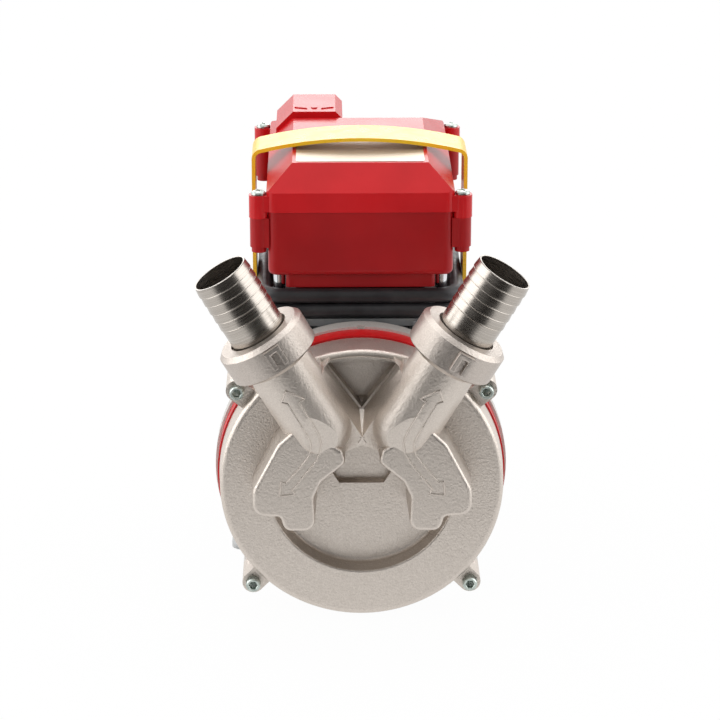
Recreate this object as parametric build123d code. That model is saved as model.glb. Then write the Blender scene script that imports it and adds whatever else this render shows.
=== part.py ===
from build123d import *
import math
import os

# Electric transfer pump: a reversible, self-priming pump head with two hose tails, on the nose of a
# finned fan-cooled motor, with its control box and wound supply cord on top.
# Everything is drawn from the shaft line (Y, front to back) and the cover's front face (Y = 0),
# with Z up, and is set down at the end so that the origin is on the floor, mid foot bolt pattern.

# Overall stance
shaft_height = 102.0
floor = -shaft_height

# Fits, used wherever two pieces meet
slip_fit = 0.05
running_gap = 0.5
screw_clearance = 0.3
soft_gap = 0.3

# Front cover
cover_face_radius = 94.7
cover_rear_radius = 95.8
cover_depth = 24.0
cover_edge_round = 4.0
recess_radius = 62.5
recess_floor_radius = 60.0
recess_depth = 13.0
recess_mouth_round = 1.5
recess_foot_round = 3.0
cover_wall = 5.0
pocket_bead = 1.5
pocket_depth = 9.0
pocket_foot = 53.4
pocket_corner = (25.2, 87.6)
web_thickness = 3.2
web_front = -19.5
web_foot = 41.0
well_depth = 6.0

# Kidney shaped port chambers on the cover
pad_front = -31.0
pad_edge_round = 2.5
pad_draft = 1.5

# Ports, their axes radial from the shaft line and leaning a little forward
port_spread = 30.6
port_lean = 3.0
port_axis_front = -10.9
neck_radius = 22.0
neck_bore_radius = 17.0
neck_start = 56.0
neck_end = 124.0
flank_start = 31.0
flank_end = 88.0
flank_reach = 27.5
flank_foot = 15.0
tongue_start = 45.0
tongue_end = 72.0
port_thread_radius = 23.9
port_thread_length = 14.5
port_gasket_thickness = 2.0

# Hose tails
tail_flange_radius = 22.8
tail_flange_thickness = 3.5
tail_root_radius = 19.0
tail_root_length = 18.0
tail_crest_radius = 19.4
tail_valley_radius = 18.7
tail_ridge_pitch = 6.6
tail_ridge_land = 0.8
tail_ridges = 5
tail_bore_radius = 17.7

# Union nuts
union_radius = 30.5
union_length = 21.6
union_top_wall = 3.4
union_chamfer = 3.0
union_lug_width = 11.0
union_lug_height = 14.0
union_lug_proud = 3.0

# Cover screws and the lugs that take them
cover_screw_circle = 104.5
cover_screw_angles = (37.7, 142.3, 225.3, 314.7)
cover_screw_radius = 3.0
cover_screw_head_radius = 5.0
cover_screw_head_height = 6.0
cover_screw_socket_width = 5.0
lug_radius = 7.4
lug_front = 9.0

# Chamber ring, gasket and rear flange
gasket_thickness = 0.8
ring_back = 38.0
ring_radius = 97.0
chamber_radius = 79.0
flange_radius = 98.7
flange_thickness = 12.0
flange_foot_half_width = 34.0
flange_foot_height = 8.0

# Impeller
impeller_radius = 78.2
impeller_hub_radius = 17.0
impeller_web_radius = 56.0
impeller_web_thickness = 3.0
blade_count = 16
blade_thickness = 3.0
impeller_nut_flange_radius = 9.0
impeller_nut_flange_thickness = 1.5
impeller_nut_width = 13.0
impeller_nut_height = 4.0
impeller_nut_recess = 6.0

# Shaft steps
shaft_stub_radius = 4.0
impeller_seat_radius = 7.0
seal_seat_radius_on_shaft = 8.0
bearing_bore_radius = 8.5
rotor_seat_radius = 10.0
fan_seat_radius = 7.5
key_width = 4.0
key_length = 5.0

# Shaft seal
seal_cavity_radius = 18.0
seal_cavity_depth = 14.0
seal_ring_radius = 14.0
seal_ring_thickness = 5.5
seal_head_radius = 15.0
seal_head_length = 7.0
seal_spring_radius = 11.5
seal_spring_wire_radius = 0.9
seal_spring_turns = 2.5

# Ball bearings
bearing_radius = 20.0
bearing_width = 12.0
bearing_ring_thickness = 3.6
ball_radius = 3.375
ball_count = 8
ball_play = 0.08
preload_inner_radius = 16.0
preload_outer_radius = 19.5
preload_thickness = 0.6
front_bearing_gap = 4.5
bearing_hub_radius = 28.0

# Rotor, stator and motor casing
core_length = 90.0
rotor_radius = 31.5
air_gap = 0.5
stator_radius = 60.0
slot_count = 24
slot_inner_radius = 36.0
slot_outer_radius = 51.0
slot_width = 5.0
slot_mouth_width = 2.0
winding_overhang = 20.0
winding_gap = 0.3
end_ring_thickness = 5.0
end_ring_radius = 29.5
casing_wall = 5.0
casing_spigot = 6.0
winding_room = 8.0
casing_gap = 1.0
fin_radius = 74.5
fin_thickness = 2.2
fin_count = 40

# Rear shield, fan and cowl
shield_thickness = 8.0
shield_hub_length = 18.0
shield_hub_inset = 5.0
shield_floor = 2.0
fan_gap = 4.0
fan_radius = 60.0
fan_length = 17.0
fan_blades = 7
fan_blade_thickness = 2.0
fan_hub_radius = 12.0
cowl_radius = 76.3
cowl_wall = 1.5
cowl_room = 9.0
cowl_bevel = 8.0
cowl_screw_angles = (90.0, 210.0, 330.0)
cowl_screw_radius = 2.0
cowl_screw_length = 8.0
cowl_screw_head_radius = 3.6
cowl_screw_head_height = 2.2
tie_rod_circle = 69.0
tie_rod_radius = 2.5
tie_rod_head_radius = 4.2
tie_rod_head_height = 3.5
tie_rod_thread = 7.0
tie_rod_angles = (45.0, 135.0, 225.0, 315.0)

# Foot plate
foot_half_width = 92.0
foot_front = 130.0
foot_back = 215.0
foot_thickness = 3.0
foot_saddle_half_width = 40.0
foot_toe_inner = 64.0
foot_bend_radius = 5.0
foot_corner_radius = 8.0
foot_bolt_spacing_x = 158.0
foot_bolt_spacing_y = 58.0
foot_bolt_hole_radius = 3.5
saddle_height = -77.0
saddle_bolt_spacing = 50.0
saddle_bolt_radius = 3.0
saddle_bolt_length = 13.0
saddle_bolt_head_width = 10.0
saddle_bolt_head_height = 4.0
saddle_bolt_inset = 15.0

# Platform on top of the casing
platform_top = 98.3
platform_thickness = 5.0
platform_margin = 6.3
platform_front = 56.0
platform_back = 234.0
platform_web_place = 38.0
platform_web_thickness = 5.0

# Posts between platform and control box, which the cord is wound on
post_radius = 4.0
post_inset = 7.2
post_front = 69.0
post_back = 221.0
post_screw_radius = 2.0
post_screw_length = 9.0
post_screw_head_radius = 3.8
post_screw_head_height = 2.4

# Control box
box_half_width = 61.9
box_front = 50.0
box_back = 240.0
box_floor = 130.5
box_seam = 174.8
box_wall = 3.0
box_corner_round = 6.0
box_floor_round = 4.0
neck_inset = 11.7
neck_setback = 10.0
neck_bottom = 119.6
lid_skirt_top = 188.2
lid_top = 204.6
lid_slope = 16.4
lid_flat_back = 186.0
lid_overhang = 0.8
ear_offset = 6.0
ear_inset = 6.3
ear_radius = 6.5
ear_base_radius = 6.0
ear_drop = 4.5
ear_top = 185.7
ear_bottom = 150.0
ear_nub_radius = 5.0
ear_nub_length = 3.5
lid_screw_radius = 2.2
lid_screw_head_radius = 5.0
lid_screw_head_height = 2.8
lid_screw_length = 26.0
lid_gasket_width = 1.6
lid_gasket_height = 1.2
turret_inset = 3.9
turret_width = 47.0
turret_front = 190.0
turret_top = 208.2
turret_slope = 12.0
turret_bevel = 5.0
plate_margin = 2.5
plate_front = 70.0
plate_back = 98.0
plate_thickness = 0.8

# Control gear inside the box
capacitor_radius = 19.0
capacitor_length = 88.0
capacitor_clearance = 2.2
capacitor_front = 112.0
clamp_width = 14.0
clamp_thickness = 1.5
terminal_width = 34.0
terminal_depth = 20.0
terminal_height = 16.0
terminal_clearance = 1.2
terminal_place_y = 92.0
terminal_well_radius = 2.5
terminal_well_floor = 6.0
wire_way_half_width = 11.0
switch_body_width = 24.0
switch_body_length = 32.0
switch_place_z = 187.0
switch_shaft_radius = 3.0
knob_radius = 14.0
knob_skirt = 4.0
knob_grip_length = 12.0
knob_grip_width = 8.0

# Wire duct and cord gland
duct_inset = 6.2
duct_front = 76.0
duct_back = 128.0
duct_wall = 3.0
gland_inset = 16.0
gland_thread_length = 10.0
gland_stem_length = 8.0
gland_nose_length = 6.0
gland_thread_radius = 8.0
gland_hex_width = 19.0
gland_hex_length = 6.0
gland_nut_length = 16.0
gland_nut_radius = 9.0
gland_nose_radius = 6.6

# Supply cord, wound twice round the posts, and its plug
cord_radius = 5.1
wind_corner_radius = 14.0
plug_radius = 19.0
plug_length = 36.0
plug_relief_length = 24.0
plug_relief_radius = 7.0
plug_pin_radius = 2.4
plug_pin_length = 19.0
plug_pin_spacing = 19.0

# Strap handle
strap_thickness = 2.5
strap_front = 100.0
strap_back = 135.0
strap_corner_height = 200.8
strap_crown_height = 210.0
strap_corner_round = 7.0
strap_bottom = 72.0
strap_screw_height = 84.0
strap_screw_radius = 2.5
strap_pad_height = 22.0
strap_pad_width = 26.0
strap_screw_length = 14.0
strap_screw_head_radius = 5.0
strap_screw_head_height = 2.6
strap_end_round = 6.0

# Places that follow from the sizes above
chamber_front = cover_depth + gasket_thickness
impeller_front = chamber_front + running_gap
impeller_back = ring_back - running_gap
flange_back = ring_back + flange_thickness
seal_face = ring_back + seal_cavity_depth
seal_back = seal_face + seal_ring_thickness
front_bearing_front = seal_back + front_bearing_gap
front_bearing_back = front_bearing_front + bearing_width
core_front = flange_back + casing_spigot + winding_room + winding_overhang
core_back = core_front + core_length
casing_bore = stator_radius + slip_fit
barrel_radius = casing_bore + casing_wall
casing_back = core_back + winding_overhang + casing_spigot
shield_back = casing_back + shield_thickness
hub_front = casing_back - shield_hub_inset
hub_back = hub_front + shield_hub_length
rear_bearing_front = hub_front + shield_floor
rear_bearing_back = rear_bearing_front + bearing_width
fan_front = hub_back + fan_gap
cowl_back = fan_front + fan_length + cowl_room
foot_centre = (foot_front + foot_back) / 2
port_gasket_end = neck_end + port_gasket_thickness
tail_shoulder = port_gasket_end + tail_flange_thickness
union_start = tail_shoulder + union_top_wall - union_length
tail_mouth = tail_shoulder + tail_root_length + tail_ridges * tail_ridge_pitch
impeller_nut_seat = impeller_back - impeller_nut_recess
post_place_x = box_half_width - post_inset
platform_half_width = post_place_x + platform_margin
neck_half_width = box_half_width - neck_inset
neck_inner_x = neck_half_width - box_wall
ear_place_x = box_half_width + ear_offset
ear_seam = box_seam - ear_drop
lid_front = box_front - lid_overhang
lid_back = box_back + lid_overhang
turret_left = -box_half_width + turret_inset
turret_right = turret_left + turret_width
plate_half_width = box_half_width - lid_slope - plate_margin
duct_half_width = neck_half_width - duct_inset
gland_place_x = duct_half_width - gland_inset
gland_height = (platform_top + neck_bottom) / 2
switch_place_x = (turret_left + turret_right) / 2
capacitor_place_x = neck_inner_x - capacitor_radius - capacitor_clearance
terminal_place_x = -(neck_inner_x - terminal_width / 2 - terminal_clearance)
wind_inset = (wind_corner_radius - cord_radius - soft_gap - post_radius) / math.sqrt(2)
wind_side = post_place_x - wind_inset + wind_corner_radius
wind_front = post_front + wind_inset - wind_corner_radius
wind_back = post_back - wind_inset + wind_corner_radius
wind_lower = platform_top + soft_gap + cord_radius
wind_upper = neck_bottom - soft_gap - cord_radius
strap_inner_x = wind_side + cord_radius + soft_gap
strap_middle = (strap_front + strap_back) / 2
saddle_bolts_y = (foot_front + saddle_bolt_inset, casing_back - saddle_bolt_inset)
gear_floor = neck_bottom + box_wall
capacitor_height = gear_floor + clamp_thickness + capacitor_radius


def turned(*profile):
    """A body turned about the shaft line, from (radius, place along the shaft) corners."""
    return revolve(make_face(Polyline(*profile, close=True)), Axis.Y, 360)


def disc(radius, front, back):
    return turned((0, front), (radius, front), (radius, back), (0, back))


def collar(inner, outer, front, back):
    return turned((inner, front), (outer, front), (outer, back), (inner, back))


def block(x0, x1, y0, y1, z0, z1):
    middle = Pos((x0 + x1) / 2, (y0 + y1) / 2, (z0 + z1) / 2)
    return middle * Box(abs(x1 - x0), abs(y1 - y0), abs(z1 - z0))


def bar_along_y(radius, x, z, front, back):
    return Pos(x, 0, z) * disc(radius, front, back)


def bar_along_z(radius, x, y, low, high):
    return Pos(x, y, (low + high) / 2) * Cylinder(radius, high - low)


def bar_along_x(radius, y, z, start, end):
    return Pos((start + end) / 2, y, z) * Rot(0, 90, 0) * Cylinder(radius, abs(end - start))


def at_angle(angle, piece):
    """Turns a piece drawn along +X about the shaft line, to an angle above +X."""
    return Rot(0, -angle, 0) * piece


def slab(face, front, back):
    """Extrudes a face drawn in X and Z from one place along the shaft to another."""
    return extrude(Plane.XZ.offset(-back) * face, back - front)


def circle_point(radius, angle):
    return radius * math.cos(math.radians(angle)), radius * math.sin(math.radians(angle))


def port_place(side):
    """The frame of one port: its Z runs out along the port axis, its Y to the back."""
    spread = math.radians(port_spread)
    lean = math.radians(port_lean)
    forward = -math.sin(lean)
    outward = (side * math.sin(spread) * math.cos(lean), forward, math.cos(spread) * math.cos(lean))
    across = (math.cos(spread), 0, -side * math.sin(spread))
    return Plane(origin=(0, port_axis_front, 0), x_dir=across, z_dir=outward).location


def port_turned(*profile):
    """A body turned about a port axis, from (radius, place along the axis) corners."""
    return Rot(90, 0, 0) * turned(*profile)


def screw_bars(radius, front, back):
    """One bar on each cover screw's line."""
    lines = [circle_point(cover_screw_circle, angle) for angle in cover_screw_angles]
    return [bar_along_y(radius, x, z, front, back) for x, z in lines]


def screw_lugs(front, back):
    """The lugs round a casting's rim that the cover screws go through."""
    tie = block(cover_face_radius - lug_radius, cover_screw_circle, front, back, -lug_radius, lug_radius)
    return screw_bars(lug_radius, front, back) + [at_angle(angle, tie) for angle in cover_screw_angles]


# Pump head: the cast front cover
def kidney_outline(inset):
    """The flat pad of the right port chamber, a kidney that its neck runs into."""
    corners = [(72, -9.5), (72, 8), (55.5, 40), (40.5, 54), (13, 36), (11, 27.5), (27, 14),
               (32, 3), (31, -20.5), (51, -20.5), (54, -10.5)]
    rounds = [8, 14, 14, 4, 3, 4, 8, 9, 7, 6, 3.5]
    outline = make_face(FilletPolyline(*corners, radius=rounds, close=True))
    if inset:
        outline = offset(outline, amount=-inset, kind=Kind.INTERSECTION)
    return outline


def pocket_sector():
    """The fan shaped place between the necks, down to the point of the V."""
    corner_x, corner_z = pocket_corner
    crown = (0, math.hypot(corner_x, corner_z))
    sides = Polyline((-corner_x, corner_z), (0, pocket_foot), (corner_x, corner_z))
    return make_face([sides, ThreePointArc((corner_x, corner_z), crown, (-corner_x, corner_z))])


def neck_flank(side):
    """The wall that falls from a neck's inner side to the V between the necks, in the port's frame."""
    reach = math.hypot(flank_reach, flank_foot)
    tangent = math.atan2(flank_foot, flank_reach) - math.acos(neck_radius / reach)
    shoulder = (-side * neck_radius * math.cos(tangent), neck_radius * math.sin(tangent))
    deep = recess_depth * 2
    section = Polyline((0, 0), shoulder, (-side * flank_reach, flank_foot),
                       (-side * flank_reach, deep), (0, deep), close=True)
    return extrude(Plane.XY.offset(flank_start) * make_face(section), flank_end - flank_start)


def neck_tongue():
    """What is taken off the front of a neck so that it runs flat into its pad, in the port's frame."""
    pad_level = pad_front - port_axis_front + math.sin(math.radians(port_lean)) * tongue_start
    rise = (-neck_radius - pad_level) / (tongue_end - tongue_start)
    low = tongue_start - neck_radius
    front = -2 * neck_radius
    section = Polyline((front, low), (pad_level + rise * (low - tongue_start), low),
                       (-neck_radius, tongue_end), (front, tongue_end), close=True)
    return extrude(Plane.YZ.offset(-2 * neck_radius) * make_face(section), 4 * neck_radius)


def make_cover_plate():
    """The round plate with its recess, the sunk pocket and its bead, and the well in the recess floor."""
    plate = turned(
        (0, recess_depth),
        (recess_floor_radius, recess_depth),
        (recess_radius, 0),
        (cover_face_radius, 0),
        (cover_rear_radius, cover_depth),
        (0, cover_depth),
    )
    for radius, rounding in ((cover_face_radius, cover_edge_round), (recess_radius, recess_mouth_round),
                             (recess_floor_radius, recess_foot_round)):
        ring = plate.edges().filter_by(GeomType.CIRCLE).filter_by(lambda e: abs(e.radius - radius) < 0.01)
        plate = fillet(ring, rounding)
    plate = plate + slab(pocket_sector(), -pocket_bead, pocket_bead)
    corners = [(-15, -3.5), (15, -3.5), (21, 6), (24, 12), (0, 33), (-24, 12), (-21, 6)]
    well = slab(make_face(Polyline(*corners, close=True)), recess_depth - 1, recess_depth + well_depth)
    return plate - pocket_hollow() - well


def pocket_hollow():
    sunk = offset(pocket_sector(), amount=-pocket_bead, kind=Kind.INTERSECTION)
    return slab(sunk, -pocket_bead - 1, pocket_depth)


def make_front_cover():
    web_top = pocket_foot + pocket_bead
    web = make_face(Polyline((web_front, web_foot), (-pocket_bead, web_top), (recess_depth, web_top),
                             (recess_depth, web_foot), close=True))
    web = extrude(Plane.YZ.offset(-web_thickness / 2) * web, web_thickness)
    in_front_of_v = slab(pocket_sector(), pad_front * 2, -pocket_bead) + pocket_hollow()
    channel_front = recess_depth + 2
    channel = collar(impeller_hub_radius * 2, chamber_radius - cover_wall, channel_front, cover_depth + 1)
    solids = [web]
    hollows = []
    for side in (-1, 1):
        blank = Plane.XZ.offset(-pad_front) * kidney_outline(0)
        kidney = extrude(blank, pad_front - recess_depth, taper=-pad_draft)
        kidney = fillet(kidney.faces().sort_by(Axis.Y)[0].edges(), pad_edge_round)
        inner = kidney_outline(cover_wall)
        hollow = slab(inner, pad_front + cover_wall, channel_front)
        hollow = hollow + (slab(inner, pad_front + cover_wall, cover_depth + 1) & channel)
        if side < 0:
            kidney = mirror(kidney, Plane.YZ)
            hollow = mirror(hollow, Plane.YZ)
        place = port_place(side)
        neck = disc(neck_radius, neck_start, neck_end)
        neck = Rot(90, 0, 0) * neck + Pos(0, 0, neck_start) * Sphere(neck_radius) - neck_tongue()
        foot = block(-neck_radius, neck_radius, 0, 16, neck_start, cover_face_radius - cover_edge_round)
        thread = port_turned(
            (0, neck_end - port_thread_length - 2),
            (neck_radius, neck_end - port_thread_length - 2),
            (port_thread_radius, neck_end - port_thread_length),
            (port_thread_radius, neck_end),
            (0, neck_end),
        )
        flank = place * neck_flank(side) - in_front_of_v
        solids += [kidney, place * neck, place * foot, place * thread, flank]
        bore = Rot(90, 0, 0) * disc(neck_bore_radius, neck_start, neck_end + 1)
        hollows += [hollow, place * bore, place * Pos(0, 0, neck_start) * Sphere(neck_bore_radius)]
    body = make_cover_plate() + solids + screw_lugs(lug_front, cover_depth)
    behind = block(-130, 130, cover_depth, cover_depth + 40, -130, 130)
    body = body - hollows - behind

    # The lugs run back as sleeves past the gasket and the ring to the flange
    sleeves = [sleeve - disc(ring_radius + slip_fit, cover_depth, ring_back)
               for sleeve in screw_bars(lug_radius, cover_depth - 1, ring_back)]
    body = body + sleeves
    return body - screw_bars(cover_screw_radius + screw_clearance, lug_front - 1, ring_back + 1)


# Pump head: the red chamber ring and the grey rear flange that carries the seal and bearing
def make_chamber_ring():
    return collar(chamber_radius, ring_radius, chamber_front, ring_back)


def make_rear_flange():
    hub = turned(
        (0, ring_back),
        (flange_radius, ring_back),
        (flange_radius, flange_back),
        (casing_bore - slip_fit, flange_back),
        (casing_bore - slip_fit, flange_back + casing_spigot),
        (casing_bore - casing_spigot, flange_back + casing_spigot),
        (casing_bore - casing_spigot, flange_back),
        (bearing_hub_radius + 4, flange_back),
        (bearing_hub_radius, flange_back + 5),
        (bearing_hub_radius, front_bearing_back + 2),
        (0, front_bearing_back + 2),
    )
    foot = block(-flange_foot_half_width, flange_foot_half_width, ring_back, flange_back,
                 floor, floor + flange_foot_height * 2)
    hub = hub + foot + screw_lugs(ring_back, flange_back)
    mark_top = flange_radius + 2
    mark = make_face(Polyline((-4, mark_top), (4, mark_top), (0, flange_radius - 5), close=True))
    cuts = [
        disc(seal_cavity_radius, ring_back - 1, seal_face),
        disc(seal_ring_radius + slip_fit, seal_face - 1, seal_back),
        disc(seal_seat_radius_on_shaft + 1.2, seal_back - 1, front_bearing_front + 1),
        disc(bearing_radius + slip_fit, front_bearing_front, front_bearing_back + 3),
        slab(mark, ring_back - 1, ring_back + 3),
    ]
    for angle in tie_rod_angles:
        x, z = circle_point(tie_rod_circle, angle)
        cuts.append(bar_along_y(tie_rod_radius, x, z, flange_back - tie_rod_thread - 1, flange_back + 1))
    return hub - cuts - screw_bars(cover_screw_radius, ring_back - 1, flange_back + 1)


def make_cover_screws():
    screws = []
    for angle in cover_screw_angles:
        x, z = circle_point(cover_screw_circle, angle)
        head = bar_along_y(cover_screw_head_radius, x, z, lug_front - cover_screw_head_height, lug_front)
        shank = bar_along_y(cover_screw_radius - slip_fit, x, z, lug_front, flange_back - 1)
        hexagon = RegularPolygon(cover_screw_socket_width / 2, 6, major_radius=False)
        socket = make_face(Pos(x, z) * hexagon)
        top = lug_front - cover_screw_head_height
        screws.append(head + shank - slab(socket, top - 1, top + 3))
    return Compound(screws)


# Pump head: star impeller, its key and flanged nut
def make_impeller():
    hub = collar(impeller_seat_radius + slip_fit, impeller_hub_radius, impeller_front, impeller_back)
    web_middle = (impeller_front + impeller_back) / 2
    web = collar(impeller_hub_radius - 1, impeller_web_radius,
                 web_middle - impeller_web_thickness / 2, web_middle + impeller_web_thickness / 2)
    blade = block(impeller_hub_radius - 1, impeller_radius, impeller_front, impeller_back,
                  -blade_thickness / 2, blade_thickness / 2)
    blades = [at_angle(360 / blade_count * i, blade) for i in range(blade_count)]
    wheel = hub + web + blades
    wheel = wheel & disc(impeller_radius, impeller_front, impeller_back)
    counterbore = disc(impeller_nut_flange_radius + 0.6, impeller_front - 1, impeller_nut_seat)
    return wheel - counterbore - key_space(slip_fit)


def key_space(clearance):
    half = key_width / 2 + clearance
    return block(-half, half, impeller_back - key_length, impeller_back + clearance,
                 impeller_seat_radius - key_width / 2, impeller_seat_radius + key_width / 2 + clearance)


def make_impeller_nut():
    flange_front = impeller_nut_seat - impeller_nut_flange_thickness
    flange = disc(impeller_nut_flange_radius, flange_front, impeller_nut_seat)
    hexagon = make_face(RegularPolygon(impeller_nut_width / 2, 6, major_radius=False))
    bore = disc(shaft_stub_radius + slip_fit, flange_front - impeller_nut_height - 1, impeller_nut_seat + 1)
    return flange + slab(hexagon, flange_front - impeller_nut_height, flange_front) - bore


def make_shaft():
    body = turned(
        (0, impeller_nut_seat - impeller_nut_flange_thickness - impeller_nut_height),
        (shaft_stub_radius, impeller_nut_seat - impeller_nut_flange_thickness - impeller_nut_height),
        (shaft_stub_radius, impeller_nut_seat),
        (impeller_seat_radius, impeller_nut_seat),
        (impeller_seat_radius, impeller_back),
        (seal_seat_radius_on_shaft, impeller_back),
        (seal_seat_radius_on_shaft, seal_back + 2),
        (bearing_bore_radius, seal_back + 2),
        (bearing_bore_radius, front_bearing_back),
        (rotor_seat_radius, front_bearing_back),
        (rotor_seat_radius, rear_bearing_front),
        (bearing_bore_radius, rear_bearing_front),
        (bearing_bore_radius, rear_bearing_back + 1),
        (fan_seat_radius, rear_bearing_back + 1),
        (fan_seat_radius, fan_front + fan_length + 3),
        (0, fan_front + fan_length + 3),
    )
    return body - key_space(0)


# Shaft seal: fixed ceramic ring, sprung carbon head and its coil spring
def make_seal_head():
    front = seal_face - slip_fit - seal_head_length
    return turned(
        (seal_seat_radius_on_shaft + slip_fit, front),
        (seal_spring_radius - 1.5, front),
        (seal_spring_radius - 1.5, front + 2),
        (seal_head_radius, front + 2),
        (seal_head_radius, seal_face - 2),
        (seal_ring_radius - 1.5, seal_face - slip_fit),
        (seal_seat_radius_on_shaft + slip_fit, seal_face - slip_fit),
    )


def make_seal_spring():
    front = impeller_back + slip_fit + seal_spring_wire_radius
    back = seal_face - slip_fit - seal_head_length + 2 - slip_fit - seal_spring_wire_radius
    coil = Helix(pitch=(back - front) / seal_spring_turns, height=back - front, radius=seal_spring_radius + 1)
    wire = sweep(Plane(coil @ 0, z_dir=coil % 0) * Circle(seal_spring_wire_radius), path=coil)
    return Pos(0, front, 0) * Rot(-90, 0, 0) * wire


# Ball bearings, one in the flange and one in the rear shield
def bearing_pieces(front):
    middle = front + bearing_width / 2
    track = (bearing_radius + bearing_bore_radius) / 2
    groove = Pos(track, middle) * Circle(ball_radius + ball_play)
    section = Rectangle(bearing_ring_thickness, bearing_width)
    outer = Pos(bearing_radius - bearing_ring_thickness / 2, middle) * section
    inner = Pos(bearing_bore_radius + bearing_ring_thickness / 2, middle) * section
    outer = revolve(outer - groove, Axis.Y, 360)
    inner = revolve(inner - groove, Axis.Y, 360)
    ball = Pos(track, middle, 0) * Sphere(ball_radius)
    balls = [at_angle(360 / ball_count * i, ball) for i in range(ball_count)]
    return outer, inner, Compound(balls)


# Motor: rotor, stator and windings
def make_rotor_end_rings():
    rings = []
    for front in (core_front - end_ring_thickness, core_back):
        rings.append(collar(rotor_seat_radius * 2, end_ring_radius, front, front + end_ring_thickness))
    return Compound(rings)


def slot_outline(clearance):
    half = slot_width / 2 - clearance
    mouth = slot_mouth_width / 2 - clearance
    return make_face(Polyline(
        (rotor_radius, -mouth),
        (slot_inner_radius - 1.5, -mouth),
        (slot_inner_radius, -half),
        (slot_outer_radius, -half),
        (slot_outer_radius, half),
        (slot_inner_radius, half),
        (slot_inner_radius - 1.5, mouth),
        (rotor_radius, mouth),
        close=True,
    ))


def make_stator_core():
    core = collar(rotor_radius + air_gap, stator_radius, core_front, core_back)
    slot = slab(slot_outline(0), core_front - 1, core_back + 1)
    return core - [at_angle(360 / slot_count * i, slot) for i in range(slot_count)]


def make_stator_windings():
    half = slot_width / 2 - winding_gap
    bar = block(slot_inner_radius + winding_gap, slot_outer_radius - winding_gap,
                core_front - 1, core_back + 1, -half, half)
    bars = [at_angle(360 / slot_count * i, bar) for i in range(slot_count)]
    heads = []
    for front, back in ((core_front - winding_overhang, core_front - winding_gap),
                        (core_back + winding_gap, core_back + winding_overhang)):
        head = collar(slot_inner_radius, slot_outer_radius + 3, front, back)
        heads.append(fillet(head.edges().filter_by(GeomType.CIRCLE), 3))
    return heads[0] + heads[1] + bars


# Motor: finned casing with the platform that carries the control box
def make_motor_casing():
    body = disc(barrel_radius, flange_back, casing_back)
    fin = block(barrel_radius - 1, fin_radius, flange_back + 4, casing_back,
                -fin_thickness / 2, fin_thickness / 2)
    fins = []
    for i in range(fin_count):
        angle = 360 / fin_count * i
        beside_rod = any(abs(angle - rod) < 4 for rod in tie_rod_angles)
        under_platform = abs(angle - 90) < 34
        over_foot = abs(angle - 270) < 32
        if not (beside_rod or under_platform or over_foot):
            fins.append(at_angle(angle, fin))
    plate = block(-platform_half_width, platform_half_width, platform_front, platform_back,
                  platform_top - platform_thickness, platform_top)
    plate = fillet(plate.edges().filter_by(Axis.Z), 5)
    ties = []
    for side in (-1, 1):
        web = block(side * platform_web_place - platform_web_thickness / 2,
                    side * platform_web_place + platform_web_thickness / 2,
                    flange_back + 4, casing_back, 50, platform_top - 1)
        under = platform_top - 1
        gusset = make_face(Polyline((casing_back - 1, 78), (casing_back - 1, under),
                                    (platform_back - 4, under), (platform_back - 4, 91), close=True))
        gusset = extrude(Plane.YZ.offset(side * platform_web_place - platform_web_thickness / 2) * gusset,
                         platform_web_thickness)
        pad = block(side * platform_web_place, side * strap_inner_x,
                    strap_middle - strap_pad_width / 2, strap_middle + strap_pad_width / 2,
                    strap_screw_height - strap_pad_height / 2, platform_top - 1)
        saddle_pad = block(side * saddle_bolt_spacing / 2 - 9, side * saddle_bolt_spacing / 2 + 9,
                           foot_front, casing_back, saddle_height, -50)
        ties += [web, gusset, pad, saddle_pad]
    body = body + plate + ties + fins
    cuts = [disc(casing_bore, flange_back - 1, casing_back + 1)]
    lead_hole = bar_along_z(8, 0, (duct_front + duct_back) / 2, casing_bore - 2, 75)
    duct_hole = block(-wire_way_half_width, wire_way_half_width, duct_front + 10, duct_back - 10,
                      platform_top - platform_thickness - 1, platform_top + 1)
    cuts += [lead_hole, duct_hole]
    for side in (-1, 1):
        cuts.append(bar_along_x(strap_screw_radius, strap_middle, strap_screw_height,
                                side * (strap_inner_x - strap_screw_length - 2), side * (strap_inner_x + 1)))
        for y in saddle_bolts_y:
            cuts.append(bar_along_z(saddle_bolt_radius, side * saddle_bolt_spacing / 2, y, saddle_height - 1,
                                    saddle_height + saddle_bolt_length - foot_thickness + 1))
    return body - cuts


def make_rear_shield():
    body = turned(
        (0, casing_back - casing_spigot),
        (casing_bore - slip_fit, casing_back - casing_spigot),
        (casing_bore - slip_fit, casing_back),
        (barrel_radius + 2, casing_back),
        (barrel_radius + 2, shield_back),
        (bearing_hub_radius, shield_back),
        (bearing_hub_radius, hub_back),
        (0, hub_back),
    )
    body = body - collar(bearing_hub_radius, casing_bore - casing_spigot,
                         casing_back - casing_spigot - 1, casing_back)
    lugs = []
    holes = []
    for angle in tie_rod_angles:
        x, z = circle_point(tie_rod_circle, angle)
        lugs.append(bar_along_y(5.6, x, z, casing_back, shield_back))
        holes.append(bar_along_y(tie_rod_radius + screw_clearance, x, z, casing_back - 1, shield_back + 1))
    cowl_inside = cowl_radius - cowl_wall - slip_fit
    for angle in cowl_screw_angles:
        lug = block(barrel_radius - 1, cowl_inside - 0.4, casing_back, shield_back, -6, 6)
        hole = bar_along_x(cowl_screw_radius, casing_back + shield_thickness / 2, 0,
                           cowl_inside - cowl_screw_length, cowl_inside + 1)
        lugs.append(at_angle(angle, lug))
        holes.append(at_angle(angle, hole))
    body = (body + lugs) & disc(cowl_inside, casing_back - 10, hub_back + 1)
    bores = [
        disc(bearing_radius + slip_fit, hub_front - 20, hub_back - shield_floor),
        disc(bearing_bore_radius + 0.8, hub_back - shield_floor - 1, hub_back + 1),
    ]
    return body - bores - holes


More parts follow.
